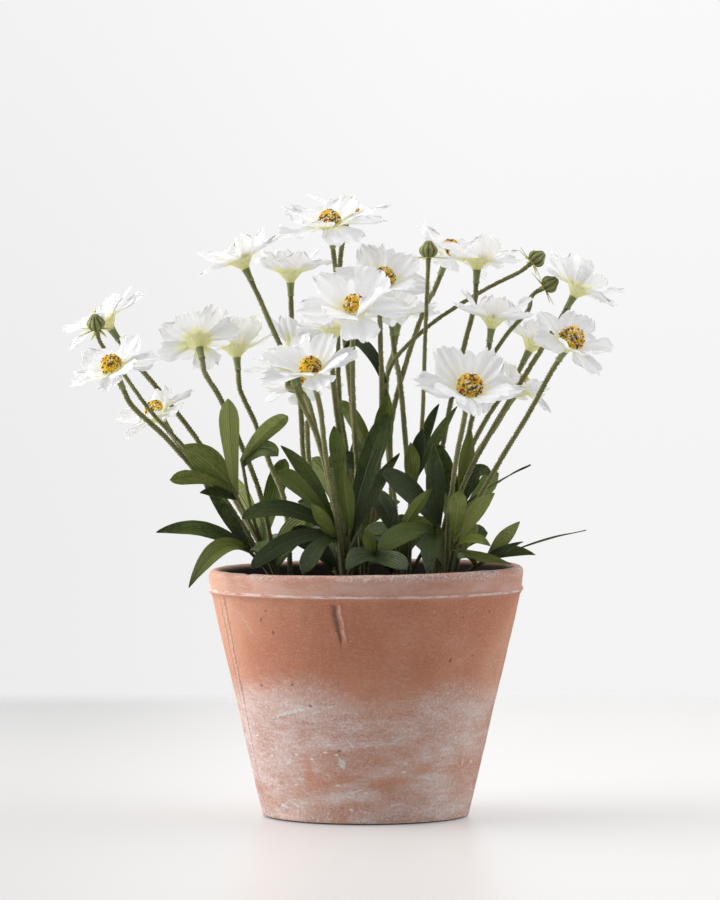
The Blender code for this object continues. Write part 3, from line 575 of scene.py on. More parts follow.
def most(*values):
    """The largest of several values, at each point."""
    largest = values[0]
    for value in values[1:]:
        largest = calc("MAXIMUM", largest, value)
    return largest


def distance(first, second):
    return calc("ABSOLUTE", calc("SUBTRACT", first, second))


def shifted(value, cloud, reach):
    """A value moved up and down by clouds, by up to half of reach."""
    return times(calc("SUBTRACT", cloud, 0.5), reach, value)


def mixed(where, first, second, share=1.0):
    """One colour with another laid over it, where a mask is and as far as share says."""
    if share < 1.0:
        where = times(where, share)
    colours = [(*c, 1.0) if isinstance(c, tuple) else c for c in (first, second)]
    inputs = {0: where, 6: colours[0], 7: colours[1]}
    return add_node(tree_of(inputs.values()), "Mix", inputs, data_type="RGBA").outputs[2]


def mask(value, low, high):
    """0 below low and 1 above high, with a soft change between. low may be above high."""
    inputs = {"Value": value, "From Min": low, "From Max": high}
    return add_node(value.id_data, "MapRange", inputs,
                    interpolation_type="SMOOTHSTEP").outputs["Result"]


def clouds(vector, scale, detail=3.0, roughness=0.55, distortion=0.0):
    inputs = {"Vector": vector, "Scale": scale, "Detail": detail, "Roughness": roughness,
              "Distortion": distortion}
    return add_node(vector.id_data, "TexNoise", inputs).outputs["Fac"]


def stretched(vector, scale, lean=0.0):
    """Places scaled along each axis and leaned over, so that clouds there become strokes."""
    inputs = {"Vector": vector, "Scale": scale, "Rotation": (0.0, lean, 0.0)}
    return add_node(vector.id_data, "Mapping", inputs).outputs["Vector"]


def specks(vector, scale, channel, size, few):
    """Round specks. size is how their edge fades, and few picks some by one colour channel."""
    spots = add_node(vector.id_data, "TexVoronoi", {"Vector": vector, "Scale": scale}).outputs
    chance = add_node(vector.id_data, "SeparateColor", {"Color": spots["Color"]}).outputs[channel]
    return times(mask(spots["Distance"], *size), mask(chance, *few))


def bumped(height, depth, strength):
    inputs = {"Height": height, "Distance": depth, "Strength": strength}
    return add_node(height.id_data, "Bump", inputs).outputs["Normal"]


def split(vector):
    return add_node(vector.id_data, "SeparateXYZ", {"Vector": vector}).outputs


def layer(shader, name):
    """A value that the mesh carries."""
    return add_node(shader.id_data, "Attribute", attribute_name=name).outputs["Fac"]


def mottled(place, scale):
    """The value of the group of clouds of three sizes."""
    inputs = {"Place": place, "Scale": scale}
    mottle = bpy.data.node_groups["mottle"]
    return add_node(place.id_data, "Group", inputs, node_tree=mottle).outputs["Value"]


def ribbed(shader, count, fan, width):
    """The outputs of the group of rib lines, for petals and leaves."""
    tree = shader.id_data
    surface = add_node(tree, "UVMap", uv_map="surface").outputs["UV"]
    inputs = {"Surface": surface, "Count": count, "Fan": fan, "Middle Width": width}
    return add_node(tree, "Group", inputs, node_tree=bpy.data.node_groups["lengthwise_ribs"]).outputs


def new_material(name):
    """A material, its shader, and the place on the object that its patterns are drawn at."""
    material = bpy.data.materials.new(name)
    material.use_nodes = True
    shader = material.node_tree.nodes["Principled BSDF"]
    return material, shader, add_node(material.node_tree, "TexCoord").outputs["Object"]


def new_group(name, inputs, outputs):
    """An empty node group with its sockets, and the nodes that stand for them inside it."""
    group = bpy.data.node_groups.new(name, "ShaderNodeTree")
    for title, kind, value in inputs:
        socket = group.interface.new_socket(title, in_out="INPUT", socket_type="NodeSocket" + kind)
        if value is not None:
            socket.default_value = value
    for title in outputs:
        group.interface.new_socket(title, in_out="OUTPUT", socket_type="NodeSocketFloat")
    return group.nodes.new("NodeGroupInput").outputs, group.nodes.new("NodeGroupOutput")


def make_mottle_group():
    """Clouds of three sizes, as one value round a half, for colour that is never quite even."""
    given, gives = new_group(
        "mottle", (("Place", "Vector", None), ("Scale", "Float", 40.0)), ("Value",))
    large = clouds(given["Place"], given["Scale"], 2.0)
    small = clouds(given["Place"], times(given["Scale"], 6.3), 3.0)
    fine = clouds(given["Place"], times(given["Scale"], 31.0), 2.0)
    feed(gives, {"Value": times(fine, 0.2, times(small, 0.35, times(large, 0.45)))})


def make_rib_group():
    """Fine lines that run along a petal or leaf, and the raised or sunk line of its middle."""
    given, gives = new_group(
        "lengthwise_ribs",
        (("Surface", "Vector", None), ("Count", "Float", 14.0), ("Fan", "Float", 0.3),
         ("Middle Width", "Float", 0.05)),
        ("Ribs", "Middle", "Along"))
    parts = split(given["Surface"])
    offset = calc("SUBTRACT", parts["Y"], 0.5)
    wander = clouds(stretched(given["Surface"], (2.0, 9.0, 1.0)), 1.0, 2.0)
    wander = times(calc("SUBTRACT", wander, 0.5), given["Fan"])
    line = times(calc("ADD", offset, wander), given["Count"])
    wave = calc("SINE", times(line, math.tau))
    away = calc("ABSOLUTE", offset)
    feed(gives, {"Ribs": times(wave, 0.5, 0.5), "Middle": mask(away, given["Middle Width"], 0.0),
                 "Along": parts["X"]})


# ---- Materials ----

def petal_cloth(name, stained):
    """Thin white cloth, yellow-green where it is gathered at the root. stained is how far."""
    material, shader, place = new_material(name)
    ribs = ribbed(shader, 19.0, 0.12, 0.05)
    patchy = mottled(place, 90.0)
    stain = times(times(layer(shader, "tint"), mask(patchy, 0.12, 0.5)), stained)
    cloth = mixed(ribs["Ribs"], (0.60, 0.60, 0.605), (0.545, 0.545, 0.555), 0.12)
    cloth = mixed(mask(patchy, 0.62, 0.36), cloth, (0.565, 0.57, 0.59))
    yellow = mixed(mask(stain, 0.35, 1.0), (0.64, 0.63, 0.36), (0.50, 0.50, 0.165))
    colour = mixed(mask(stain, 0.04, 0.66), cloth, yellow)
    height = times(clouds(place, 1800.0, 1.0), 0.18, ribs["Ribs"])
    # The cloth lets some light through, and a painted glow of its own colour, set as emission, keeps
    # its shaded side from going dark.
    feed(shader, {
        "Base Color": colour, "Normal": bumped(height, 0.0003, 0.5), "Roughness": 0.75,
        "Specular IOR Level": 0.25, "Subsurface Weight": 0.55,
        "Subsurface Radius": (1.0, 0.97, 0.85), "Subsurface Scale": 0.0025,
        "Emission Color": colour, "Emission Strength": 0.30})
    return material


# The colours of the grains. Each starts at its share of all grains.
GRAIN_COLOURS = (
    (0.00, (0.96, 0.56, 0.02)), (0.30, (1.00, 0.74, 0.07)), (0.54, (0.80, 0.30, 0.02)),
    (0.58, (0.92, 0.88, 0.78)), (0.72, (0.045, 0.040, 0.03)), (0.79, (0.09, 0.12, 0.04)),
    (0.88, (0.36, 0.06, 0.06)), (0.94, (0.16, 0.08, 0.10)))


def grain_mix():
    """Crumbs of pollen in several colours, told apart by each crumb's own value."""
    material, shader, place = new_material("pollen_grains")
    ramp = add_node(shader.id_data, "ValToRGB", {"Fac": layer(shader, "own")})
    ramp.color_ramp.interpolation = "CONSTANT"
    elements = ramp.color_ramp.elements
    elements.remove(elements[1])
    elements[0].color = (*GRAIN_COLOURS[0][1], 1.0)
    for start, colour in GRAIN_COLOURS[1:]:
        elements.new(start).color = (*colour, 1.0)
    plain = ramp.outputs["Color"]
    speck = clouds(place, 2500.0, 2.0)
    colour = mixed(0.16, plain, mixed(mask(speck, 0.30, 0.75), plain, (0.80, 0.55, 0.20)))
    feed(shader, {"Base Color": colour, "Normal": bumped(speck, 0.0003, 0.8), "Roughness": 0.85,
                  "Specular IOR Level": 0.2})
    return material


def stem_flock():
    """Fuzzy khaki stems with pale tufts and a painted highlight line down their lit side, darkened low
    down with painted shade. Where the tint rises, the green sleeve under a bloom.
    """
    material, shader, place = new_material("stem_flock")
    tint = layer(shader, "tint")
    mottle = mottled(place, 160.0)
    fuzz = clouds(place, 1500.0, 2.0)
    khaki = mixed(mask(mottle, 0.38, 0.62), (0.118, 0.120, 0.036), (0.210, 0.212, 0.074))
    khaki = mixed(mask(fuzz, 0.50, 0.66), khaki, (0.290, 0.280, 0.125))
    # Pale tufts, and the painted highlight line down each stem's lit side.
    khaki = mixed(mask(tint, -0.15, -0.95), khaki, (0.340, 0.330, 0.150))
    sleeve = mixed(mask(mottle, 0.35, 0.65), (0.190, 0.225, 0.085), (0.310, 0.345, 0.145))
    colour = mixed(mask(tint, 0.3, 0.9), khaki, sleeve)
    cut_edge = times(mask(tint, 1.4, 1.9), mask(fuzz, 0.46, 0.58))
    colour = mixed(cut_edge, colour, (0.40, 0.42, 0.28))
    # Painted shade: the stems are darkened low down, near the soil, where they stand in the shade of
    # the leaves.
    low = mask(split(place)["Z"], 0.200, 0.158)
    colour = mixed(low, colour, (0.020, 0.024, 0.006), 0.72)
    feed(shader, {"Base Color": colour, "Normal": bumped(fuzz, 0.0009, 0.8), "Roughness": 0.8,
                  "Specular IOR Level": 0.3, "Sheen Weight": 0.15})
    return material


def leaf_cloth(name, colours, middle, middle_share, roughness, depth):
    """One side of a leaf: its dark, plain, light and fresh colours, the colour and strength of
    its middle rib, and the depth of its ribs."""
    material, shader, place = new_material(name)
    own = layer(shader, "own")
    ribs = ribbed(shader, 9.0, 0.08, 0.045)
    mottle = mottled(place, 55.0)
    dark, plain, light, fresh = colours
    colour = mixed(mask(mottle, 0.36, 0.60), dark, plain)
    bright = times(ribs["Along"], 0.5, times(own, 0.5))
    bright = times(bright, mask(mottle, 0.30, 0.60))
    colour = mixed(mask(bright, 0.25, 0.95), colour, light)
    colour = mixed(ribs["Ribs"], colour, dark, 0.22)
    colour = mixed(mask(own, 0.70, 1.02), colour, light)
    colour = mixed(mask(own, 0.95, 1.35), colour, fresh)
    colour = mixed(mask(own, 0.45, 0.10), colour, dark, 0.6)
    # Painted shade: the leaves are darkened low down, near the soil, where they lie in the shade of
    # the others.
    low = mask(split(place)["Z"], 0.188, 0.150)
    colour = mixed(low, colour, (0.012, 0.020, 0.004), 0.5)
    rib_line = times(ribs["Middle"], mask(ribs["Along"], 0.93, 0.78))
    colour = mixed(rib_line, colour, middle, middle_share)
    height = times(clouds(place, 2600.0, 1.0), 0.25, ribs["Ribs"])
    height = times(ribs["Middle"], 1.6, height)
    feed(shader, {
        "Base Color": colour, "Normal": bumped(height, depth, 0.8),
        "Roughness": times(mask(mottle, 0.2, 0.8), 0.12, roughness),
        "Specular IOR Level": 0.40, "Subsurface Weight": 0.12,
        "Subsurface Radius": (0.5, 1.0, 0.25), "Subsurface Scale": 0.001})
    return material


# The two sides of a leaf, in the order that leaf_cloth takes them.
LEAF_TOP = (
    "leaf_top",
    ((0.020, 0.036, 0.004), (0.040, 0.066, 0.007), (0.105, 0.150, 0.016), (0.190, 0.225, 0.032)),
    (0.15, 0.19, 0.05), 0.35, 0.36, 0.00035)
LEAF_UNDERSIDE = (
    "leaf_underside",
    ((0.112, 0.150, 0.018), (0.180, 0.220, 0.034), (0.250, 0.290, 0.070), (0.290, 0.320, 0.090)),
    (0.36, 0.30, 0.11), 0.75, 0.52, 0.0003)


def bud_skin():
    """Ribbed olive buds. Where the tint rises, their thin yellow sepals."""
    material, shader, place = new_material("bud_skin")
    tint = layer(shader, "tint")
    mottle = mottled(place, 220.0)
    green = mixed(mask(tint, 0.0, 0.45), (0.060, 0.066, 0.018), (0.225, 0.240, 0.075))
    green = mixed(mask(mottle, 0.42, 0.66), green, (0.30, 0.32, 0.11))
    sepal = mixed(mask(mottle, 0.35, 0.65), (0.46, 0.43, 0.11), (0.62, 0.56, 0.20))
    colour = mixed(mask(tint, 0.7, 0.95), green, sepal)
    fuzz = clouds(place, 1800.0, 2.0)
    feed(shader, {"Base Color": colour, "Normal": bumped(fuzz, 0.0004, 0.6), "Roughness": 0.6,
                  "Specular IOR Level": 0.35})
    return material


def clear_thread():
    material, shader, _ = new_material("clear_thread")
    feed(shader, {"Base Color": (0.62, 0.64, 0.60, 1.0), "Roughness": 0.12, "Alpha": 0.8})
    return material


def potting_soil():
    material, shader, place = new_material("potting_soil")
    crumbs = clouds(place, 420.0, 4.0, 0.7)
    colour = mixed(mask(mottled(place, 70.0), 0.35, 0.65), (0.012, 0.009, 0.007),
                   (0.050, 0.034, 0.022))
    colour = mixed(mask(crumbs, 0.62, 0.75), colour, (0.13, 0.085, 0.05))
    feed(shader, {"Base Color": colour, "Normal": bumped(crumbs, 0.002, 0.9), "Roughness": 0.95,
                  "Specular IOR Level": 0.15})
    return material


# A pair of mould seams runs down the left side and one seam down the right: their angles at the
# foot, in radians, and how far they turn towards the front with each millimetre of height. After
# those, how clear each line is.
SEAMS = (-1.265, -1.345, 1.36)
SEAM_SLANT = 0.00075
SEAM_SHARES = (0.8, 0.5, 0.5)
# Strokes of chalk on the wall: how far round it they are from the middle of the front and how
# high, their length and width, all in millimetres, and their slope in degrees.
CHALK_MARKS = (
    (-60.5, 70.5, 38, 2.8, 12), (-80.2, 47.8, 4, 5.0, 10), (-69.4, 38.2, 9, 3.6, 40),
    (-20.4, 39.7, 8, 5.0, -50), (-84.0, 10.0, 11, 3.4, -5), (-66.0, 11.5, 25, 2.2, -12),
    (-10.3, 21.5, 16, 1.8, 10), (25.0, 54.8, 9, 1.6, 15), (50.0, 45.0, 7, 2.0, 5),
    (94.0, 38.0, 2, 7.0, 0), (93.0, 10.0, 9, 3.0, 50), (88.0, 71.0, 2, 6.0, 0),
    (-92.0, 128.0, 27, 0.6, -52), (-103.0, 84.0, 20, 1.2, -55))
# Dark pits, in the same way but all of one size.
PITS = (
    (-84.0, 87.3), (-54.2, 88.6), (-73.1, 128.6), (-64.4, 120.8), (90.6, 132.2), (-21.5, 47.3),
    (-42.2, 75.2), (61.0, 103.0))
PIT_SIZE = (1.9, 1.6, 0)
# Places where the wash is thick, and where it is rubbed bare, in the way of the chalk marks.
THICK_WASH = (
    (-58.0, 78.0, 90, 30, 6), (-24.0, 60.0, 44, 44, 0), (-84.0, 44.0, 90, 62, 0),
    (76.0, 68.0, 86, 46, 0), (72.0, 9.0, 80, 16, 0), (-112.0, 60.0, 40, 90, 0))
BARE_CLAY = (
    (-27.0, 46.0, 30, 8.0, -4), (-50.0, 34.0, 12, 24.0, 0), (22.0, 27.0, 44, 11.0, 4),
    (82.0, 98.0, 21, 12.0, -25), (46.0, 117.0, 6, 15.0, -15), (-8.0, 12.0, 40, 7.0, 0),
    (-24.0, 28.0, 50, 6.0, 8), (48.0, 34.0, 24, 7.0, 12))


def marks(wall, places, ragged):
    """A mask of strokes on the wall, whose edges are broken up by the ragged value."""
    whole = None
    for round_wall, high, length, width, slope in places:
        inputs = {"Vector": wall, "Location": (round_wall, high, 0.0),
                  "Rotation": (0.0, 0.0, math.radians(slope)),
                  "Scale": (length / 2, width / 2, 1.0)}
        near = add_node(wall.id_data, "Mapping", inputs, vector_type="TEXTURE").outputs["Vector"]
        away = add_node(wall.id_data, "VectorMath", {0: near}, operation="LENGTH").outputs["Value"]
        whole = calc("MINIMUM", whole, away) if whole else away
    return mask(shifted(whole, ragged, -4.0), 1.30, 0.75)


def aged_clay():
    """Unglazed clay, with a rubbed chalky wash over its lower half and chalk along its rim. The
    mesh gives how thick the wash is."""
    material, shader, place = new_material("aged_clay")
    parts = split(place)
    height = times(parts["Z"], 1.0 / MM)
    angle = calc("ARCTAN2", parts["X"], times(parts["Y"], -1.0))

    large = clouds(place, 10.0, 3.0)
    blotch = clouds(place, 38.0, 4.0, 0.62, 0.5)
    fine = clouds(place, 620.0, 5.0, 0.78)
    rubbed = clouds(stretched(place, (1.0, 1.0, 3.2), 0.30), 27.0, 6.0, 0.66, 0.35)
    strokes = clouds(stretched(place, (1.0, 1.0, 7.0), -0.14), 110.0, 5.0, 0.75)
    hair = clouds(stretched(place, (1.0, 1.0, 9.0), 0.05), 260.0, 3.0, 0.7)
    patch = mask(rubbed, 0.34, 0.70)
    grain = mask(fine, 0.44, 0.60)
    streak = mask(strokes, 0.46, 0.70)
    # The wall rolled out flat, in millimetres, a little disturbed.
    scribble = shifted(times(calc("SUBTRACT", blotch, 0.5), 9.0), fine, 3.0)
    wall = add_node(shader.id_data, "CombineXYZ", {
        "X": calc("ADD", times(angle, WALL_RADIUS), scribble),
        "Y": calc("ADD", height, times(scribble, 0.6))}).outputs[0]

    clay = mixed(mask(large, 0.36, 0.66), (0.450, 0.172, 0.098), (0.590, 0.268, 0.152))
    clay = mixed(mask(blotch, 0.48, 0.72), clay, (0.400, 0.165, 0.100), 0.40)
    clay = mixed(mask(fine, 0.46, 0.68), clay, (0.640, 0.340, 0.240), 0.36)
    clay = mixed(mask(hair, 0.50, 0.68), clay, (0.660, 0.370, 0.260), 0.30)
    clay = mixed(mask(hair, 0.46, 0.30), clay, (0.330, 0.130, 0.075), 0.34)

    # The wash begins softly above the middle. It is thick in places and rubbed bare in others.
    level = height
    for cloud, reach in ((large, 20.0), (rubbed, 34.0), (strokes, 40.0), (hair, 16.0)):
        level = shifted(level, cloud, reach)
    level = times(mask(distance(angle, 0.12), 0.50, 0.12), 7.0, level)
    cover = 0.08
    for where, share in ((patch, 0.30), (grain, 0.28), (streak, 0.20),
                         (mask(hair, 0.44, 0.64), 0.10)):
        cover = times(where, share, cover)
    broken = shifted(layer(shader, "wash"), rubbed, 1.3)
    cover = times(cover, times(mask(broken, 0.45, 1.35), 1.0, 0.42))
    wash = times(mask(level, 98.0, 72.0), cover)
    dust = times(mask(large, 0.40, 0.65), times(grain, 0.09, 0.04))
    dust = times(times(streak, grain), 0.07, dust)

    # Chalk rubbed on the lip, the ridge and the band between them.
    lip = times(mask(height, 151.0, 155.0), mask(rubbed, 0.40, 0.54))
    lip = times(lip, times(grain, 0.6, 0.25))
    thin = mask(distance(height, RIDGE_HEIGHT + 0.4), 1.3, 0.35)
    thin = times(times(thin, mask(strokes, 0.36, 0.54)), 0.72)
    band = mask(height, RIDGE_HEIGHT - 3.0, RIDGE_HEIGHT + 3.0)
    band = times(band, times(most(streak, patch), 0.24, 0.10))

    upright = times(height, -SEAM_SLANT, angle)
    seams = most(*(times(mask(distance(upright, side), 0.026, 0.008), share)
                   for side, share in zip(SEAMS, SEAM_SHARES)))
    seams = times(seams, mask(height, 142.0, 138.0))

    # Thick flecks, dashes and scratches of chalk, and a worn foot.
    fleck = specks(stretched(place, (1.0, 1.0, 2.0)), 120.0, 0, (0.26, 0.10), (0.76, 0.82))
    fleck = times(fleck, times(mask(height, 100.0, 50.0), 0.6, 0.05))
    crumbly = clouds(place, 480.0, 4.0, 0.7)
    scratch = times(marks(wall, CHALK_MARKS, crumbly), times(grain, 0.35, 0.60))
    fleck = most(fleck, scratch)
    foot = times(mask(height, 22.0, 4.0), mask(blotch, 0.38, 0.52))
    foot = times(foot, times(grain, 0.65, 0.20))
    white = most(wash, dust, lip, thin, band, times(seams, grain), fleck, foot)
    colour = mixed(white, clay, (0.850, 0.740, 0.715))
    colour = mixed(fleck, colour, (0.92, 0.86, 0.82), 0.8)

    # Small dark pits, the crack, and painted shade: the inside is painted nearly black, and a painted
    # shadow runs along the edge of the underside.
    dots = marks(wall, [(*at, *PIT_SIZE) for at in PITS], crumbly)
    hole = specks(place, 150.0, 1, (0.12, 0.05), (0.90, 0.93))
    hole = most(times(hole, 0.7), dots)
    colour = mixed(hole, colour, (0.13, 0.075, 0.06), 0.6)
    sunk = layer(shader, "tint")
    # The crack's groove is darkened, partly a grey fill and partly painted shade.
    groove_fill_and_shade = times(times(mask(sunk, 0.12, 0.95), 0.80), times(grain, -0.35, 1.0))
    colour = mixed(groove_fill_and_shade, colour, (0.230, 0.165, 0.150))
    # Painted highlight: the raised lip beside the crack is painted lighter.
    colour = mixed(mask(sunk, -0.1, -1.2), colour, (0.700, 0.440, 0.350))
    # Painted shade: the inside of the pot is painted nearly black.
    colour = mixed(layer(shader, "own"), colour, (0.022, 0.014, 0.010))
    # Painted shadow: a thin dark line along the bottom edge, where the pot meets the floor.
    colour = mixed(mask(height, 1.3, 0.6), colour, (0.04, 0.025, 0.02))

    relief = times(fine, 0.7, times(rubbed, 0.5))
    for value, depth in ((hair, 0.45), (white, 0.5), (fleck, 0.8), (hole, -2.2), (seams, 2.0)):
        relief = times(value, depth, relief)
    feed(shader, {"Base Color": colour, "Normal": bumped(relief, 0.0008, 0.9),
                  "Roughness": times(white, 0.12, 0.76), "Specular IOR Level": 0.3})
    return material


def studio_floor():
    """A pale table whose far edge melts into the light behind it."""
    material, shader, place = new_material("studio_floor")
    parts = split(place)
    # Painted light: the floor is darker on the left and towards its far edge and lighter on the right,
    # a painted falloff of the light on it.
    left = mixed(mask(parts["Y"], 0.30, 0.95), (0.362, 0.357, 0.354), (0.325, 0.321, 0.319))
    colour = mixed(mask(parts["X"], -0.26, 0.02), left, (0.472, 0.466, 0.461))
    # The floor also glows with its own colour, a painted glow that keeps the shadows on it pale.
    feed(shader, {
        "Base Color": colour, "Emission Color": colour, "Emission Strength": 0.55,
        "Alpha": mask(parts["Y"], 0.99, 0.84), "Roughness": 0.33, "Specular IOR Level": 0.45})
    return material


# ---- Blooms ----

# Blooms whose petals are yellowish all over, and how much.
CREAM = {"05": 0.34, "22": 0.16, "09": 0.10, "11": 0.08, "03": 0.08, "07": 0.08}

PETAL_OUTLINES = (
    ((0.0, 0.27), (0.12, 0.42), (0.30, 0.66), (0.50, 0.90), (0.68, 1.0), (0.84, 0.97), (0.94, 0.87),
     (1.0, 0.75)),
    ((0.0, 0.27), (0.12, 0.40), (0.30, 0.68), (0.48, 0.94), (0.60, 1.0), (0.78, 0.90), (0.92, 0.68),
     (1.0, 0.46)),
    ((0.0, 0.27), (0.15, 0.40), (0.35, 0.60), (0.55, 0.80), (0.75, 0.97), (0.88, 1.0), (0.96, 0.93),
     (1.0, 0.84)),
)
# Radii of the cup along its height.
CUP_OUTLINE = ((0.0, 2.7), (0.14, 2.9), (0.35, 3.8), (0.6, 5.3), (0.82, 6.6), (1.0, 7.5))
CUP_PLEATS = 16
CUP_GRID = (7, 48)


def add_petal(bm, look, turn, radius, width, lift, twist, cream):
    """One cloth petal: narrow at its root, broad and toothed at its tip, with soft folds."""
    spin = Matrix.Rotation(turn, 3, "Z")
    incline = math.radians(lift)
    slope = math.tan(incline)
    normal = Vector((-math.sin(incline), 0, math.cos(incline)))
    lean = math.tan(math.radians(twist)) / radius
    outline = look.choice(PETAL_OUTLINES)
    breadth = width * look.uniform(0.98, 1.16)
    teeth = look.uniform(2.4, 5.2)
    tooth_start = look.uniform(0, math.pi)
    tooth_depth = look.uniform(0.05, 0.13)
    skew = look.uniform(-0.05, 0.05)
    fold_count = look.uniform(1.6, 3.6)
    fold_start = look.uniform(0, math.tau)
    fold_height = look.uniform(0.35, 1.15)
    waves = draw_waves(look, (4, 8), (0.4, 1.8))
    curl = look.uniform(0.2, 2.6)
    tip_bend = look.choice((-3.0, -1.6, -0.6, 0.6, 1.8, 3.2)) + look.uniform(-0.6, 0.6)
    sway = look.uniform(-2.0, 2.0)
    stained = look.uniform(0.15, 0.45) if look.random() < 0.14 else 0.0
    yellow_reach = look.uniform(0.38, 0.82)
    seed = Vector((look.uniform(0, 90), look.uniform(0, 90), look.uniform(0, 90)))
    own = look.random()

    def shape(along, across):
        side = abs(across)
        # The end of the petal at this place across it, rounded, toothed and frayed.
        notch = abs(math.sin(teeth * across * math.pi / 2 + tooth_start)) ** 0.6
        frayed = noise.noise(seed + Vector((across * 13, 0, 0)))
        end = radius * (1.0 - 0.15 * side ** 2.8 + skew * across - tooth_depth * (1 - notch))
        end += radius * (0.055 * frayed + 0.075 * noise.noise(seed + Vector((across * 29, 5, 0))))
        reach = PETAL_START + (end - PETAL_START) * along
        offset = across * breadth * between(outline, along) + sway * along ** 2
        offset += 2.0 * along * noise.noise(seed + Vector((along * 11, across, 3))) * side ** 8
        # The slope that the petal lies along, and a little twist.
        ground = ROOT_HEIGHT + slope * (
            reach - ROOT_RADIUS - 0.10 * max(reach - 0.6 * radius, 0.0))
        ground += offset * reach * lean
        # Curled edges, folds, waves and a bent tip lift the cloth off that slope.
        rise = curl * side ** 2 * along ** 0.7
        rise += fold_height * along * math.sin(fold_count * across * math.pi + fold_start)
        rise += along * edge_wave(waves, along, across)
        rise += tip_bend * smooth_step(0.55, 1.2, along) * (0.4 + 0.6 * side)
        rise += 1.1 * along * noise.noise(Vector((reach, offset, 0)) * 0.14 + seed)
        rise += 0.35 * along * noise.noise(Vector((reach * 0.2, offset * 0.9, 0)) + seed)
        # The tint is 1 where the cloth is most yellow.
        streak = 0.22 * noise.noise(seed + Vector((across * 2, along * 2, 9)))
        tint = smooth_step(yellow_reach, 0.02, along + 0.05 * side + streak)
        tint = max(tint, stained * smooth_step(0.8, 1.0, along), cream * (1 - 0.4 * along))
        return spin @ (Vector((reach, offset, ground)) + normal * rise), tint

    sheet(bm, *PETAL_GRID, shape, own)


def add_cup(bm):
    """The gathered cone under the petals."""

    def shape(along, across):
        angle = -math.pi * across
        pleat = 1 + 0.035 * along * math.sin(CUP_PLEATS * angle)
        radius = between(CUP_OUTLINE, along) * pleat
        height = -RECEPTACLE_HEIGHT - 0.6 + along * (RECEPTACLE_HEIGHT + 0.2 + ROOT_HEIGHT * 0.6)
        tint = 0.9 - 0.3 * along
        return Vector((radius * math.cos(angle), radius * math.sin(angle), height)), tint

    rolled(bm, *CUP_GRID, shape, material=1)


def make_petals(number, materials):
    """A bloom's petals and the cup under them. The draws are the same as in the part's source."""
    _, centre, facing, lift, radius, _ = BLOOMS[number]
    raised_side, raised_lift = RAISED.get(number, (0, 0))
    draw = random.Random(SEED + int(number))
    look = random.Random(SEED * 100 + int(number))
    first = draw.uniform(0, math.tau)
    step = math.tau / PETALS
    bm = draft()
    add_cup(bm)
    for index in range(PETALS):
        side = first + step * (index + 0.5)
        turn = side + math.radians(draw.uniform(-3, 3))
        length = radius * draw.uniform(0.94, 1.03) / math.cos(math.radians(lift))
        # Short petals are narrower, and so are the steep ones of a cup.
        width = PETAL_WIDTH * min(length, 1.3 * radius) / FULL_LENGTH * draw.uniform(0.94, 1.04)
        rise = lift + LAYER_SPREAD * (0.5 - index % 2) + draw.uniform(-2, 2)
        if abs(math.remainder(side - math.radians(raised_side), math.tau)) < step / 2:
            rise += raised_lift
        rise = min(STEEPEST, rise)
        reach = length * math.cos(math.radians(rise))
        cream = CREAM.get(number, 0.0) * look.uniform(0.7, 1.2)
        add_petal(bm, look, turn, reach, width, rise, draw.uniform(-4, 4), cream)
    place_along(bm, centre, facing)
    cloth_piece("bloom_%s_petals" % number, bm, materials, ["petals_" + number],
                PETAL_SKIN)


def add_crumb(bm, look, at, size, longest, flat):
    """A crumb turned at random. Its length is drawn between two shares of its size, and flat is
    the share that it is high."""
    turn = look.uniform(0, 3)
    axis = Vector((look.uniform(-1, 1), look.uniform(-1, 1), look.uniform(0.1, 1))).normalized()
    matrix = Matrix.Translation(at) @ Matrix.Rotation(turn, 4, axis)
    matrix @= Matrix.Diagonal((size * look.uniform(*longest), size, size * flat, 1.0))
    return bmesh.ops.create_icosphere(bm, subdivisions=1, radius=1.0, matrix=matrix)["verts"]


def make_disc(number, material):
    """The domed middle of a bloom: a core covered with crumbs of pollen."""
    centre, facing = BLOOMS[number][1:3]
    look = random.Random(SEED * 200 + int(number))
    bm = draft()
    own = bm.verts.layers.float["own"]

    def dome(share):
        """Radius of the dome at a share of its height."""
        return DISC_RADIUS * (1 - share ** 2.3) ** (1 / 2.1)

    core = bmesh.ops.create_uvsphere(bm, u_segments=20, v_segments=12, radius=1.0)["verts"]
    for vert in core:
        share = max(0.0, vert.co.z)
        level = Vector((vert.co.x, vert.co.y, 0))
        if level.length > 0:
            level = level.normalized() * dome(share) * (1.0 if vert.co.z > -0.01 else level.length)
        vert.co = level * 0.95 + Vector((0, 0, share * DISC_HEIGHT * 0.96))
        vert[own] = 0.47
    for index in range(GRAINS):
        share = 1 - (index + 0.5) / GRAINS
        angle = index * math.pi * (3 - math.sqrt(5)) + look.uniform(-0.1, 0.1)
        out = dome(share)
        at = Vector((out * math.cos(angle), out * math.sin(angle), 0.2 + share * DISC_HEIGHT))
        at *= look.uniform(0.97, 1.05)
        grain = add_crumb(bm, look, at, look.uniform(0.48, 0.80), (0.8, 1.3), 0.9)
        value = look.random()
        for vert in grain:
            vert[own] = value
    scale = DISC_SCALES.get(number, 1.0)
    bmesh.ops.scale(bm, vec=(scale, scale, scale), verts=bm.verts)
    place_along(bm, centre, facing)
    piece("bloom_%s_disc" % number, bm, [material], ["disc_" + number])


# ---- Sprays ----

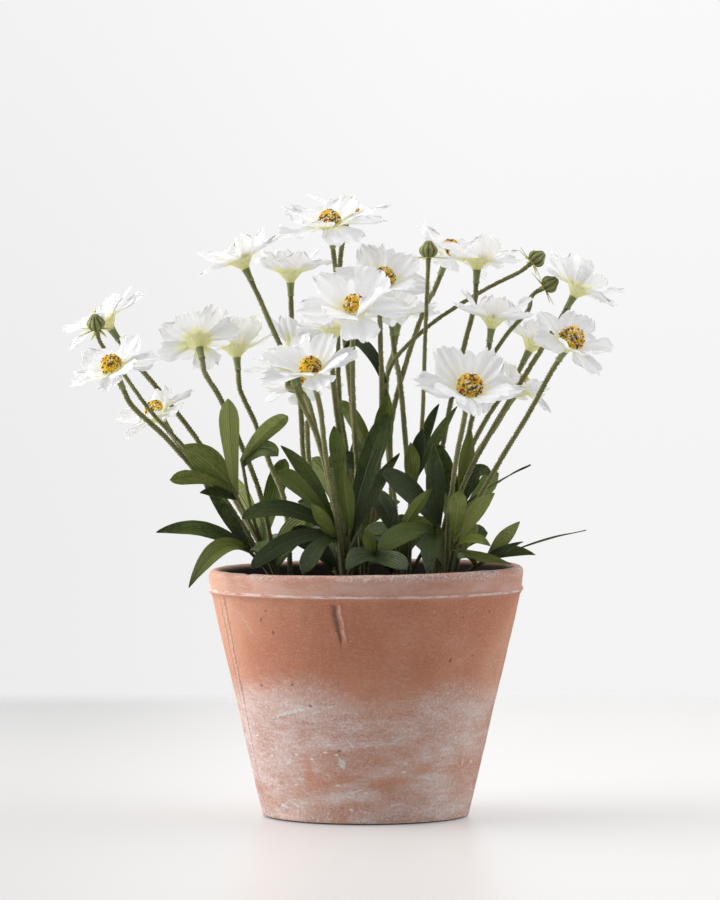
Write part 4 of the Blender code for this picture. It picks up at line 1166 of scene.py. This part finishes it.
def stem_start(name, spray, via, routes):
    """The first points of a stem: at its place in the crown, or on the middle of its host stem."""
    if name in HOSTS:
        nearest = min(routes[HOSTS[name]], key=lambda place: (place - Vector(via[0])).length)
        return [nearest, *via[1:]]
    x, y = CROWNS[spray]
    first = {}
    for other, (owner, *_, its_via) in [*BLOOMS.items(), *BUDS.items()]:
        if owner == spray and other not in HOSTS:
            first[other] = math.atan2(its_via[0][1] - y, its_via[0][0] - x)
    order = sorted(first, key=first.get)
    angle = first[order[0]] + math.tau * order.index(name) / len(order)
    x += CROWN_SPREAD * math.cos(angle)
    y += CROWN_SPREAD * math.sin(angle)
    return [(x, y, CROWN_TOP - STEM_DEPTH), *via]


def stem_rings(name, points):
    """The middles of a stem's rings. A stem that leaves the crown starts deep inside it."""
    route = spaced_route(points, RING_GAP)
    if name in HOSTS:
        return route
    return [Vector((route[0].x, route[0].y, CROWN_TOP - CROWN_DEPTH)), *route]


def flock(look, rings, sides, share, rise):
    """Tufts that stand proud of a stem: the rise of each corner of each ring. They stand on every
    second ring, so that the stem looks finely beaded."""
    rows = []
    for ring in range(rings):
        row = []
        for _ in range(sides):
            tuft = ring % 2 == 0 and look.random() < share
            row.append(rise * look.uniform(0.6, 1.0) if tuft else look.uniform(-0.08, 0.04))
        rows.append(row)
    return rows


def add_bloom_stem(bm, look, name, routes):
    """A stem and, at its top, the sleeve of the calyx."""
    spray, centre, facing, _, _, via = BLOOMS[name]
    way = Vector(facing).normalized()
    foot = Vector(centre) - way * (RECEPTACLE_HEIGHT + RECEPTACLE_GAP + CALYX_LENGTH)
    points = [*stem_start(name, spray, via, routes), foot - way * STRAIGHT_UNDER_CALYX, foot]
    routes[name] = smooth_route(points, HOST_RINGS)
    route = stem_rings(name, points)
    radii = [STEM_RADIUS - STEM_SKIN + 0.12 * noise.noise(point * 0.05) for point in route]
    tints = [0.0] * len(route)
    bumps = flock(look, len(route), STEM_SIDES, TUFT_SHARE, 0.62)
    for along, calyx_radius in CALYX_OUTLINE:
        route.append(foot + way * along)
        radii.append(calyx_radius)
        cut_edge = along < 1.5
        tints.append(2.0 if cut_edge else 1.0)
        frayed = 0.25 if cut_edge else 0.06
        bumps.append([min(TUFT_RISE, look.uniform(-frayed, frayed)) for _ in range(STEM_SIDES)])
    tube(bm, route, radii, STEM_SIDES, tints, bumps, look.random())


def add_stalk(bm, look, spray, stalk):
    """The stalk of a leaf. It gives the joint of the lobes, and the way back down the stalk."""
    x, y = CROWNS[spray]
    angle = math.atan2(stalk[0][1] - y, stalk[0][0] - x)
    x += STALK_SPREAD * math.cos(angle)
    y += STALK_SPREAD * math.sin(angle)
    points = [(x, y, CROWN_TOP - STALK_DEPTH), *stalk]
    route = spaced_route(points, STALK_GAP)
    radii = [1.35 - 0.25 * index / len(route) for index in range(len(route))]
    bumps = flock(look, len(route), STALK_SIDES, 0.10, 0.24)
    tube(bm, route, radii, STALK_SIDES, [0.35] * len(route), bumps, look.random())
    joint, before = smooth_route(points, 3)[:-3:-1]
    return joint, (before - joint).normalized()


def add_crown(bm, look, spray):
    """The short bundle that a spray's stems leave the soil from."""
    x, y = CROWNS[spray]
    route = [Vector((x, y, height)) for height, _ in CROWN_OUTLINE]
    radii = [radius for _, radius in CROWN_OUTLINE]
    bumps = flock(look, len(route), CROWN_SIDES, 0.4, 0.5)
    tube(bm, route, radii, CROWN_SIDES, [0.1] * len(route), bumps, look.random())


def add_bud(bm, look, name, routes):
    """A bud on its twig, with the sepals that spread under it. They are the second material."""
    spray, foot, facing, via = BUDS[name]
    way = Vector(facing).normalized()
    foot = Vector(foot)
    route = stem_rings(name, [*stem_start(name, spray, via, routes), foot - way * 8, foot + way * 1.5])
    radii = [TWIG_RADIUS - TWIG_SKIN] * len(route)
    for back in range(FLARE_RINGS):
        radii[-1 - back] += FLARE * (1 - back / FLARE_RINGS)
    bumps = flock(look, len(route), STEM_SIDES, TUFT_SHARE, 0.52)
    tube(bm, route, radii, STEM_SIDES, [0.0] * len(route), bumps, look.random())

    axes = axes_along(facing)
    tint = bm.verts.layers.float["tint"]
    ball = bmesh.ops.create_uvsphere(bm, u_segments=8 * BUD_RIBS, v_segments=18, radius=1.0)["verts"]
    for vert in ball:
        angle = math.atan2(vert.co.y, vert.co.x)
        level = math.hypot(vert.co.x, vert.co.y)
        rise = (vert.co.z + 1) / 2
        rib = abs(math.cos(BUD_RIBS * angle / 2))
        full = level ** 0.85 * (1 - 0.18 * smooth_step(0.55, 1.0, rise))
        out = BUD_RADIUS * full * (0.86 + 0.16 * rib ** 0.6)
        peak = 1.5 * smooth_step(0.84, 1.0, rise)
        place = Vector((out * math.cos(angle), out * math.sin(angle), rise * BUD_HEIGHT + peak))
        vert.co = foot + axes @ place
        vert[tint] = 0.45 * rib ** 1.6
    for face in {face for vert in ball for face in vert.link_faces}:
        face.material_index = 1
    for index in range(SEPALS):
        angle = math.tau * index / SEPALS
        out = axes @ Vector((math.cos(angle), math.sin(angle), SEPAL_DROOP))
        add_sepal(bm, look, foot + way * 0.9, out.normalized(), way)


def add_sepal(bm, look, start, out, way):
    """A thin strip that sags or lifts a little towards its tip, as a flat closed tube."""
    length = SEPAL_LENGTH * look.uniform(0.85, 1.1)
    rise = look.uniform(-1.6, 1.2)
    side = out.cross(way).normalized()
    sway = look.uniform(-1.5, 1.5)

    def shape(along, across):
        angle = -math.pi * across
        half = SEPAL_WIDTH / 2 * between(((0, 0.75), (0.5, 1.0), (0.85, 0.6), (1, 0.1)), along)
        point = start + out * length * along + way * rise * along ** 2 + side * sway * along ** 2
        thick = 0.38 * (1 - 0.6 * along)
        return point + side * half * math.cos(angle) + way * thick * math.sin(angle), 1.0

    rolled(bm, 12, 8, shape, look.random(), 1)


# Sprays whose leaves are lighter and yellower than the others', or darker. The upright leaves of
# each are lighter too.
FRESH = {"left": 0.38, "far_right": 0.60, "front_left": -0.10, "centre": -0.12, "centre_right": -0.1}
UPRIGHT_FRESH = 0.30

ROUND_LOBE = ((0.0, 0.30), (0.12, 0.50), (0.30, 0.76), (0.50, 0.95), (0.66, 1.0), (0.80, 0.90),
              (0.90, 0.70), (0.96, 0.45), (1.0, 0.06))
POINTED_LOBE = ((0.0, 0.34), (0.12, 0.56), (0.30, 0.86), (0.45, 1.0), (0.60, 0.96), (0.75, 0.74),
                (0.88, 0.42), (0.96, 0.18), (1.0, 0.03))
BROAD_LOBE = ((0.0, 0.28), (0.15, 0.42), (0.40, 0.68), (0.65, 0.94), (0.78, 1.0), (0.88, 0.84),
              (0.95, 0.50), (1.0, 0.04))
SLIM_LOBE = ((0.0, 0.62), (0.3, 0.60), (0.6, 0.42), (0.85, 0.22), (1.0, 0.04))


def add_lobe(bm, look, start, tip, width, arch, face, fresh):
    """One lobe of a leaf, dished along its middle and arched from its joint to its tip."""
    tip = Vector(tip)
    bend = (start + tip) / 2 + Vector((0, 0, 2 * arch))
    face = Vector(face)
    usual = look.choice((ROUND_LOBE, BROAD_LOBE, POINTED_LOBE))
    outline = SLIM_LOBE if width < 7 else POINTED_LOBE if width < 10 else usual
    dish = look.uniform(0.05, 0.15)
    waves = draw_waves(look, (5, 10), (0.2, 0.7))
    sway = look.uniform(-0.06, 0.06) * width
    curl = look.uniform(-1.5, 1.2)

    def shape(along, across):
        left = 1 - along
        point = start * left ** 2 + bend * (2 * along * left) + tip * along ** 2
        ahead = ((bend - start) * left + (tip - bend) * along).normalized()
        side = face.cross(ahead).normalized()
        normal = ahead.cross(side)
        share = between(outline, along)
        offset = across * share * width / 2 + sway * math.sin(math.pi * along)
        rise = dish * width * share * abs(across) ** 1.5 - 0.25 * (1 - abs(across)) ** 6
        rise += edge_wave(waves, along, across)
        rise += curl * smooth_step(0.7, 1.0, along)
        return point + side * offset + normal * rise, 0.0

    rows = max(14, round((tip - start).length / LOBE_GAP))
    fresh += UPRIGHT_FRESH if face[1] == FRONT[1] else 0.0
    sheet(bm, rows, LOBE_COLUMNS, shape, look.random() + fresh)


def add_thread(bm, look):
    """A clear thread, wound twice and knotted round the left stems. It is the third material."""
    middle = Vector(THREAD_PLACE)
    winding = []
    for step in range(THREAD_STEPS + 1):
        angle = math.tau * THREAD_TURNS * step / THREAD_STEPS - 1.2
        winding.append(middle + Vector((
            THREAD_REACH[0] * math.cos(angle), THREAD_REACH[1] * math.sin(angle),
            -2.2 * math.cos(angle) + 1.8 * step / THREAD_STEPS + look.uniform(-0.3, 0.3))))
    tube(bm, winding, [0.42] * len(winding), 6, material=2)
    knot = winding[0]
    for way in ((9, -3, 5), (7, -4, -5), (3, -3, 8)):
        ends = [knot, knot + Vector(way) * 0.5 + Vector((0, 0, 1.2)), knot + Vector(way)]
        tube(bm, smooth_route(ends, 8), [0.4] * 9, 6, material=2)


def make_spray(spray, materials):
    """The stems, buds and leaves that leave the soil at one crown."""
    look = random.Random(SEED * 300 + len(spray) + ord(spray[0]))
    stems = draft()
    leaves = draft()
    add_crown(stems, look, spray)
    routes = {}
    for table, add_top in ((BLOOMS, add_bloom_stem), (BUDS, add_bud)):
        for name in table:
            if table[name][0] == spray:
                add_top(stems, look, name, routes)
    for owner, stalk, lobes in LEAVES:
        if owner == spray:
            joint, down = add_stalk(stems, look, spray, stalk)
            for index, (tip, width, arch, face) in enumerate(lobes):
                start = joint + down * (LOBE_START + LOBE_STEP * index)
                add_lobe(leaves, look, start, tip, width, arch, face, FRESH.get(spray, 0.0))
    if spray == "left":
        add_thread(stems, look)
    node = ["spray_" + spray]
    piece("stems_" + spray, stems, [materials["stem"], materials["bud"], materials["thread"]],
          node)
    cloth_piece("leaves_" + spray, leaves, [materials["leaf"], materials["leaf_back"]],
                node, LEAF_SKIN)


# ---- Pot and soil ----

def beside_crack(place):
    """How far a place on the wall is to the right of the line of the crack, in millimetres."""
    if place.y >= FRONT_SIDE:
        return math.inf
    line = -20.3 + (CRACK_TOP - place.z) * 0.16 + 0.25 * math.sin(place.z * 0.6)
    return place.x * WALL_RADIUS / math.hypot(place.x, place.y) - line


def nearness(turn, height, places):
    """How near the middle of one of the places on the wall this is: 1 inside it, 0 outside."""
    best = 0.0
    for round_wall, high, length, width, slope in places:
        aside, up = turn * WALL_RADIUS - round_wall, height - high
        lean = math.radians(slope)
        along = (aside * math.cos(lean) + up * math.sin(lean)) / length * 2
        across = (up * math.cos(lean) - aside * math.sin(lean)) / width * 2
        best = max(best, smooth_step(1.25, 0.3, math.hypot(along, across)))
    return best


def make_pot(material):
    """A turned profile, then its uneven wall, its crack and its chipped lip."""
    lip_radius = (RIM_RADIUS - RIM_INNER_RADIUS) / 2
    lip_middle = (RIM_RADIUS - lip_radius, POT_HEIGHT - lip_radius)
    foot_middle = (FOOT_RADIUS - FOOT_ROUND, FOOT_ROUND)
    profile = [(0, 0), (foot_middle[0], 0)]
    profile += arc(foot_middle, FOOT_ROUND, -75, -8, 5)
    shoulder = (BODY_TOP_RADIUS, RIDGE_HEIGHT - 1.5 * RIDGE_WIDTH)
    profile += stretch(profile[-1], shoulder, 72)
    profile += arc((RIDGE_RADIUS - RIDGE_WIDTH / 2, RIDGE_HEIGHT), RIDGE_WIDTH / 2, -75, 75, 6)
    band_foot = (BAND_RADIUS, RIDGE_HEIGHT + 1.2 * RIDGE_WIDTH)
    profile.append(band_foot)
    profile += stretch(band_foot, (RIM_RADIUS, lip_middle[1]), 4)
    profile += list(arc(lip_middle, lip_radius, 0, 180, 12))[1:]
    profile += stretch((RIM_INNER_RADIUS, lip_middle[1]), (WALL_TOP_INNER_RADIUS, WALL_TOP), 5)
    profile += stretch(
        (WALL_TOP_INNER_RADIUS, WALL_TOP), (WALL_FOOT_INNER_RADIUS, POT_FLOOR), 6)
    profile.append((0, POT_FLOOR))
    bm = draft()
    turned(bm, profile, POT_STEPS)

    for cuts, reach in ((2, 9.0), (1, 5.0)):
        close = {vert for vert in bm.verts if CRACK_FOOT - 5 < vert.co.z < CRACK_TOP + 2
                 and abs(beside_crack(vert.co)) < reach}
        edges = [edge for edge in bm.edges if edge.verts[0] in close and edge.verts[1] in close]
        bmesh.ops.subdivide_edges(bm, edges=edges, cuts=cuts, use_grid_fill=True)

    wash = bm.verts.layers.float.new("wash")
    tint = bm.verts.layers.float["tint"]
    own = bm.verts.layers.float["own"]
    for vert in bm.verts:
        height = vert.co.z
        out = Vector((vert.co.x, vert.co.y, 0))
        turn = math.atan2(vert.co.x, -vert.co.y)
        vert[wash] = 1 + 0.45 * nearness(turn, height, THICK_WASH)
        vert[wash] *= 1 - 0.50 * nearness(turn, height, BARE_CLAY)
        # Painted shade: own marks the inside of the pot, below the lip, for its near-black colour.
        if height > POT_FLOOR - 1 and out.length < inner_radius(height) + 2.5:
            vert[own] = smooth_step(157.5, 154.0, height)
        if out.length < 1:
            continue
        way = out.normalized()
        outside = out.length > inner_radius(height) + 4 or height > 152
        push = 0.0
        # The wall is a little uneven, with marks of turning, dents and raised seams.
        if outside and height > 1:
            push += 0.55 * noise.noise(vert.co * 0.022)
            push += 0.16 * noise.noise(vert.co * 0.11)
            push += 0.07 * noise.noise(Vector((vert.co.x * 0.1, vert.co.y * 0.1, height * 0.9)))
            push -= 0.35 * smooth_step(0.25, 0.6, noise.noise(vert.co * 0.06 + Vector((7, 3, 1))))
            if height < CRACK_TOP:
                upright = turn - SEAM_SLANT * height
                push += sum(0.28 * math.exp(-((upright - side) / 0.02) ** 2) for side in SEAMS)
        if CRACK_FOOT < height < CRACK_TOP and vert.co.y < FRONT_SIDE and outside:
            side = beside_crack(vert.co)
            ends = smooth_step(CRACK_FOOT, CRACK_FOOT + 10, height)
            ends *= smooth_step(CRACK_TOP, CRACK_TOP - 3, height)
            ragged = 1.0 + 0.7 * noise.noise(Vector((side * 0.2, 3, height * 0.35)))
            taper = 0.35 + 0.65 * smooth_step(CRACK_FOOT, CRACK_FOOT + 18, height)
            groove = math.exp(-(side / (1.75 * taper * max(0.45, ragged))) ** 2) * ends
            lip = math.exp(-((side - 3.2) / 1.2) ** 2) * ends
            push += 0.6 * lip - 1.5 * groove
            # The tint carries the groove, darkened partly as grey fill and partly as painted shade,
            # and the raised lip, painted lighter as a painted highlight.
            vert[tint] = groove if groove > 0.10 else -0.8 * lip
        vert.co += way * push
        # The lip is chipped, and the rim and the band under it stand at a slight tilt.
        if height > 154:
            chip = smooth_step(0.32, 0.6, noise.noise(vert.co * 0.09 + Vector((40, 0, 0))))
            vert.co.z -= 0.9 * chip * smooth_step(154, 157, height)
            vert.co.z += 0.3 * noise.noise(vert.co * 0.05)
        if height > WALL_TOP:
            rise = min(1.0, (height - WALL_TOP) / (POT_HEIGHT - RIDGE_HEIGHT))
            vert.co.z += vert.co.x * (RIDGE_TILT + (RIM_TILT - RIDGE_TILT) * rise)
    piece("pot_clay", bm, [material], ["pot"])


def inner_radius(height):
    """Radius of the pot's inner wall at a height."""
    along = (height - POT_FLOOR) / (WALL_TOP - POT_FLOOR)
    return WALL_FOOT_INNER_RADIUS + along * (WALL_TOP_INNER_RADIUS - WALL_FOOT_INNER_RADIUS)


def make_soil(material):
    """A plug with a low uneven mound, and crumbs lying on it."""
    look = random.Random(SEED * 400)
    floor = POT_FLOOR + 0.3
    edge = inner_radius(SOIL_LEVEL) - 0.3
    profile = [(0, floor), (inner_radius(floor) - 0.9, floor), (edge, SOIL_LEVEL)]
    for step in range(1, SOIL_RINGS + 1):
        share = 1 - step / SOIL_RINGS
        profile.append((edge * share, SOIL_LEVEL + SOIL_MOUND * (1 - share ** 2)))
    bm = draft()
    turned(bm, profile, SOIL_STEPS)
    for vert in bm.verts:
        if vert.co.z > SOIL_LEVEL + 0.1:
            vert.co.z += 1.3 * noise.noise(vert.co * 0.09) + 0.9 * noise.noise(vert.co * 0.33)
    for _ in range(SOIL_CRUMBS):
        angle = look.uniform(0, math.tau)
        out = edge * math.sqrt(look.uniform(0, 0.92))
        rise = SOIL_LEVEL + SOIL_MOUND * (1 - (out / edge) ** 2)
        at = (out * math.cos(angle), out * math.sin(angle), rise)
        add_crumb(bm, look, at, look.uniform(0.7, 2.0), (1, 1.8), 0.8)
    piece("soil_mound", bm, [material], ["soil"])


# ---- Studio ----

# Place, aim and size of each light in metres, and its power.
LIGHTS = (
    ("left_softbox", (-1.35, 0.0, 0.60), (0, 0, 0.15), (1.8, 1.8), 37.5),
    ("right_softbox", (1.40, 0.05, 0.65), (0, 0, 0.2), (1.6, 1.6), 9.5),
    ("top_softbox", (0.0, 0.30, 1.6), (0, 0, 0.2), (2.0, 1.6), 12.0),
)
FLOOR_REACH = (4.0, 2.2, 1.0)
FLOOR_MIDDLE = (0.0, -1.2, -0.0002)


def make_floor(material):
    bm = bmesh.new()
    bmesh.ops.create_grid(bm, x_segments=1, y_segments=1, size=1.0)
    bmesh.ops.scale(bm, vec=FLOOR_REACH, verts=bm.verts)
    bmesh.ops.translate(bm, vec=FLOOR_MIDDLE, verts=bm.verts)
    floor = to_object("studio_floor", bm, [material])


def aimed(name, data, at, aim):
    """Puts a light or the camera in the scene, turned to a point."""
    made = bpy.data.objects.new(name, data)
    made.location = at
    made.rotation_euler = (Vector(aim) - Vector(at)).to_track_quat("-Z", "Y").to_euler()
    bpy.context.scene.collection.objects.link(made)
    return made


def make_light(name, at, aim, size, power):
    """A soft light that the camera doesn't see."""
    data = bpy.data.lights.new(name, "AREA")
    data.shape = "RECTANGLE"
    data.size, data.size_y = size
    data.energy = power
    aimed(name, data, at, aim).visible_camera = False


def make_world():
    """The light that comes from all round, and the bright backdrop that the camera sees."""
    world = bpy.data.worlds.new("studio")
    bpy.context.scene.world = world
    world.use_nodes = True
    tree = world.node_tree
    parts = split(add_node(tree, "TexCoord").outputs["Generated"])
    share = times(mask(parts["X"], -0.085, 0.03), 0.5, times(mask(parts["Z"], -0.06, 0.10), 0.5))
    backdrop = mixed(share, (0.845, 0.840, 0.840), (0.965, 0.965, 0.970))
    # The tent is dim on the camera's side, and bright at the sides and behind.
    strength = times(mask(parts["Y"], -0.95, 0.15), BACK_LIGHT, FRONT_LIGHT)
    around = add_node(tree, "Background", {"Color": (1.0, 1.0, 1.0, 1.0), "Strength": strength})
    seen = add_node(tree, "Background", {"Color": backdrop, "Strength": 1.0})
    first_hit = add_node(tree, "LightPath").outputs["Is Camera Ray"]
    both = add_node(tree, "MixShader", {0: first_hit, 1: around.outputs[0], 2: seen.outputs[0]})
    feed(tree.nodes["World Output"], {"Surface": both.outputs[0]})


def make_camera():
    data = bpy.data.cameras.new("camera")
    data.lens = LENS
    data.sensor_width = 36.0
    data.clip_end = 30.0
    bpy.context.scene.camera = aimed("camera", data, CAMERA_PLACE, CAMERA_AIM)


def main():
    scene = bpy.context.scene
    scene.view_settings.view_transform = "Standard"
    make_camera()
    make_world()
    for light in LIGHTS:
        make_light(*light)
    make_floor(studio_floor())

    make_mottle_group()
    make_rib_group()
    make_pot(aged_clay())
    make_soil(potting_soil())
    materials = {
        "stem": stem_flock(),
        "bud": bud_skin(),
        "thread": clear_thread(),
        "leaf": leaf_cloth(*LEAF_TOP),
        "leaf_back": leaf_cloth(*LEAF_UNDERSIDE),
    }
    for spray in CROWNS:
        make_spray(spray, materials)
    cloth = [petal_cloth("petal_face", 0.45), petal_cloth("petal_back", 0.85)]
    grains = grain_mix()
    for number in BLOOMS:
        make_petals(number, cloth)
        make_disc(number, grains)


main()
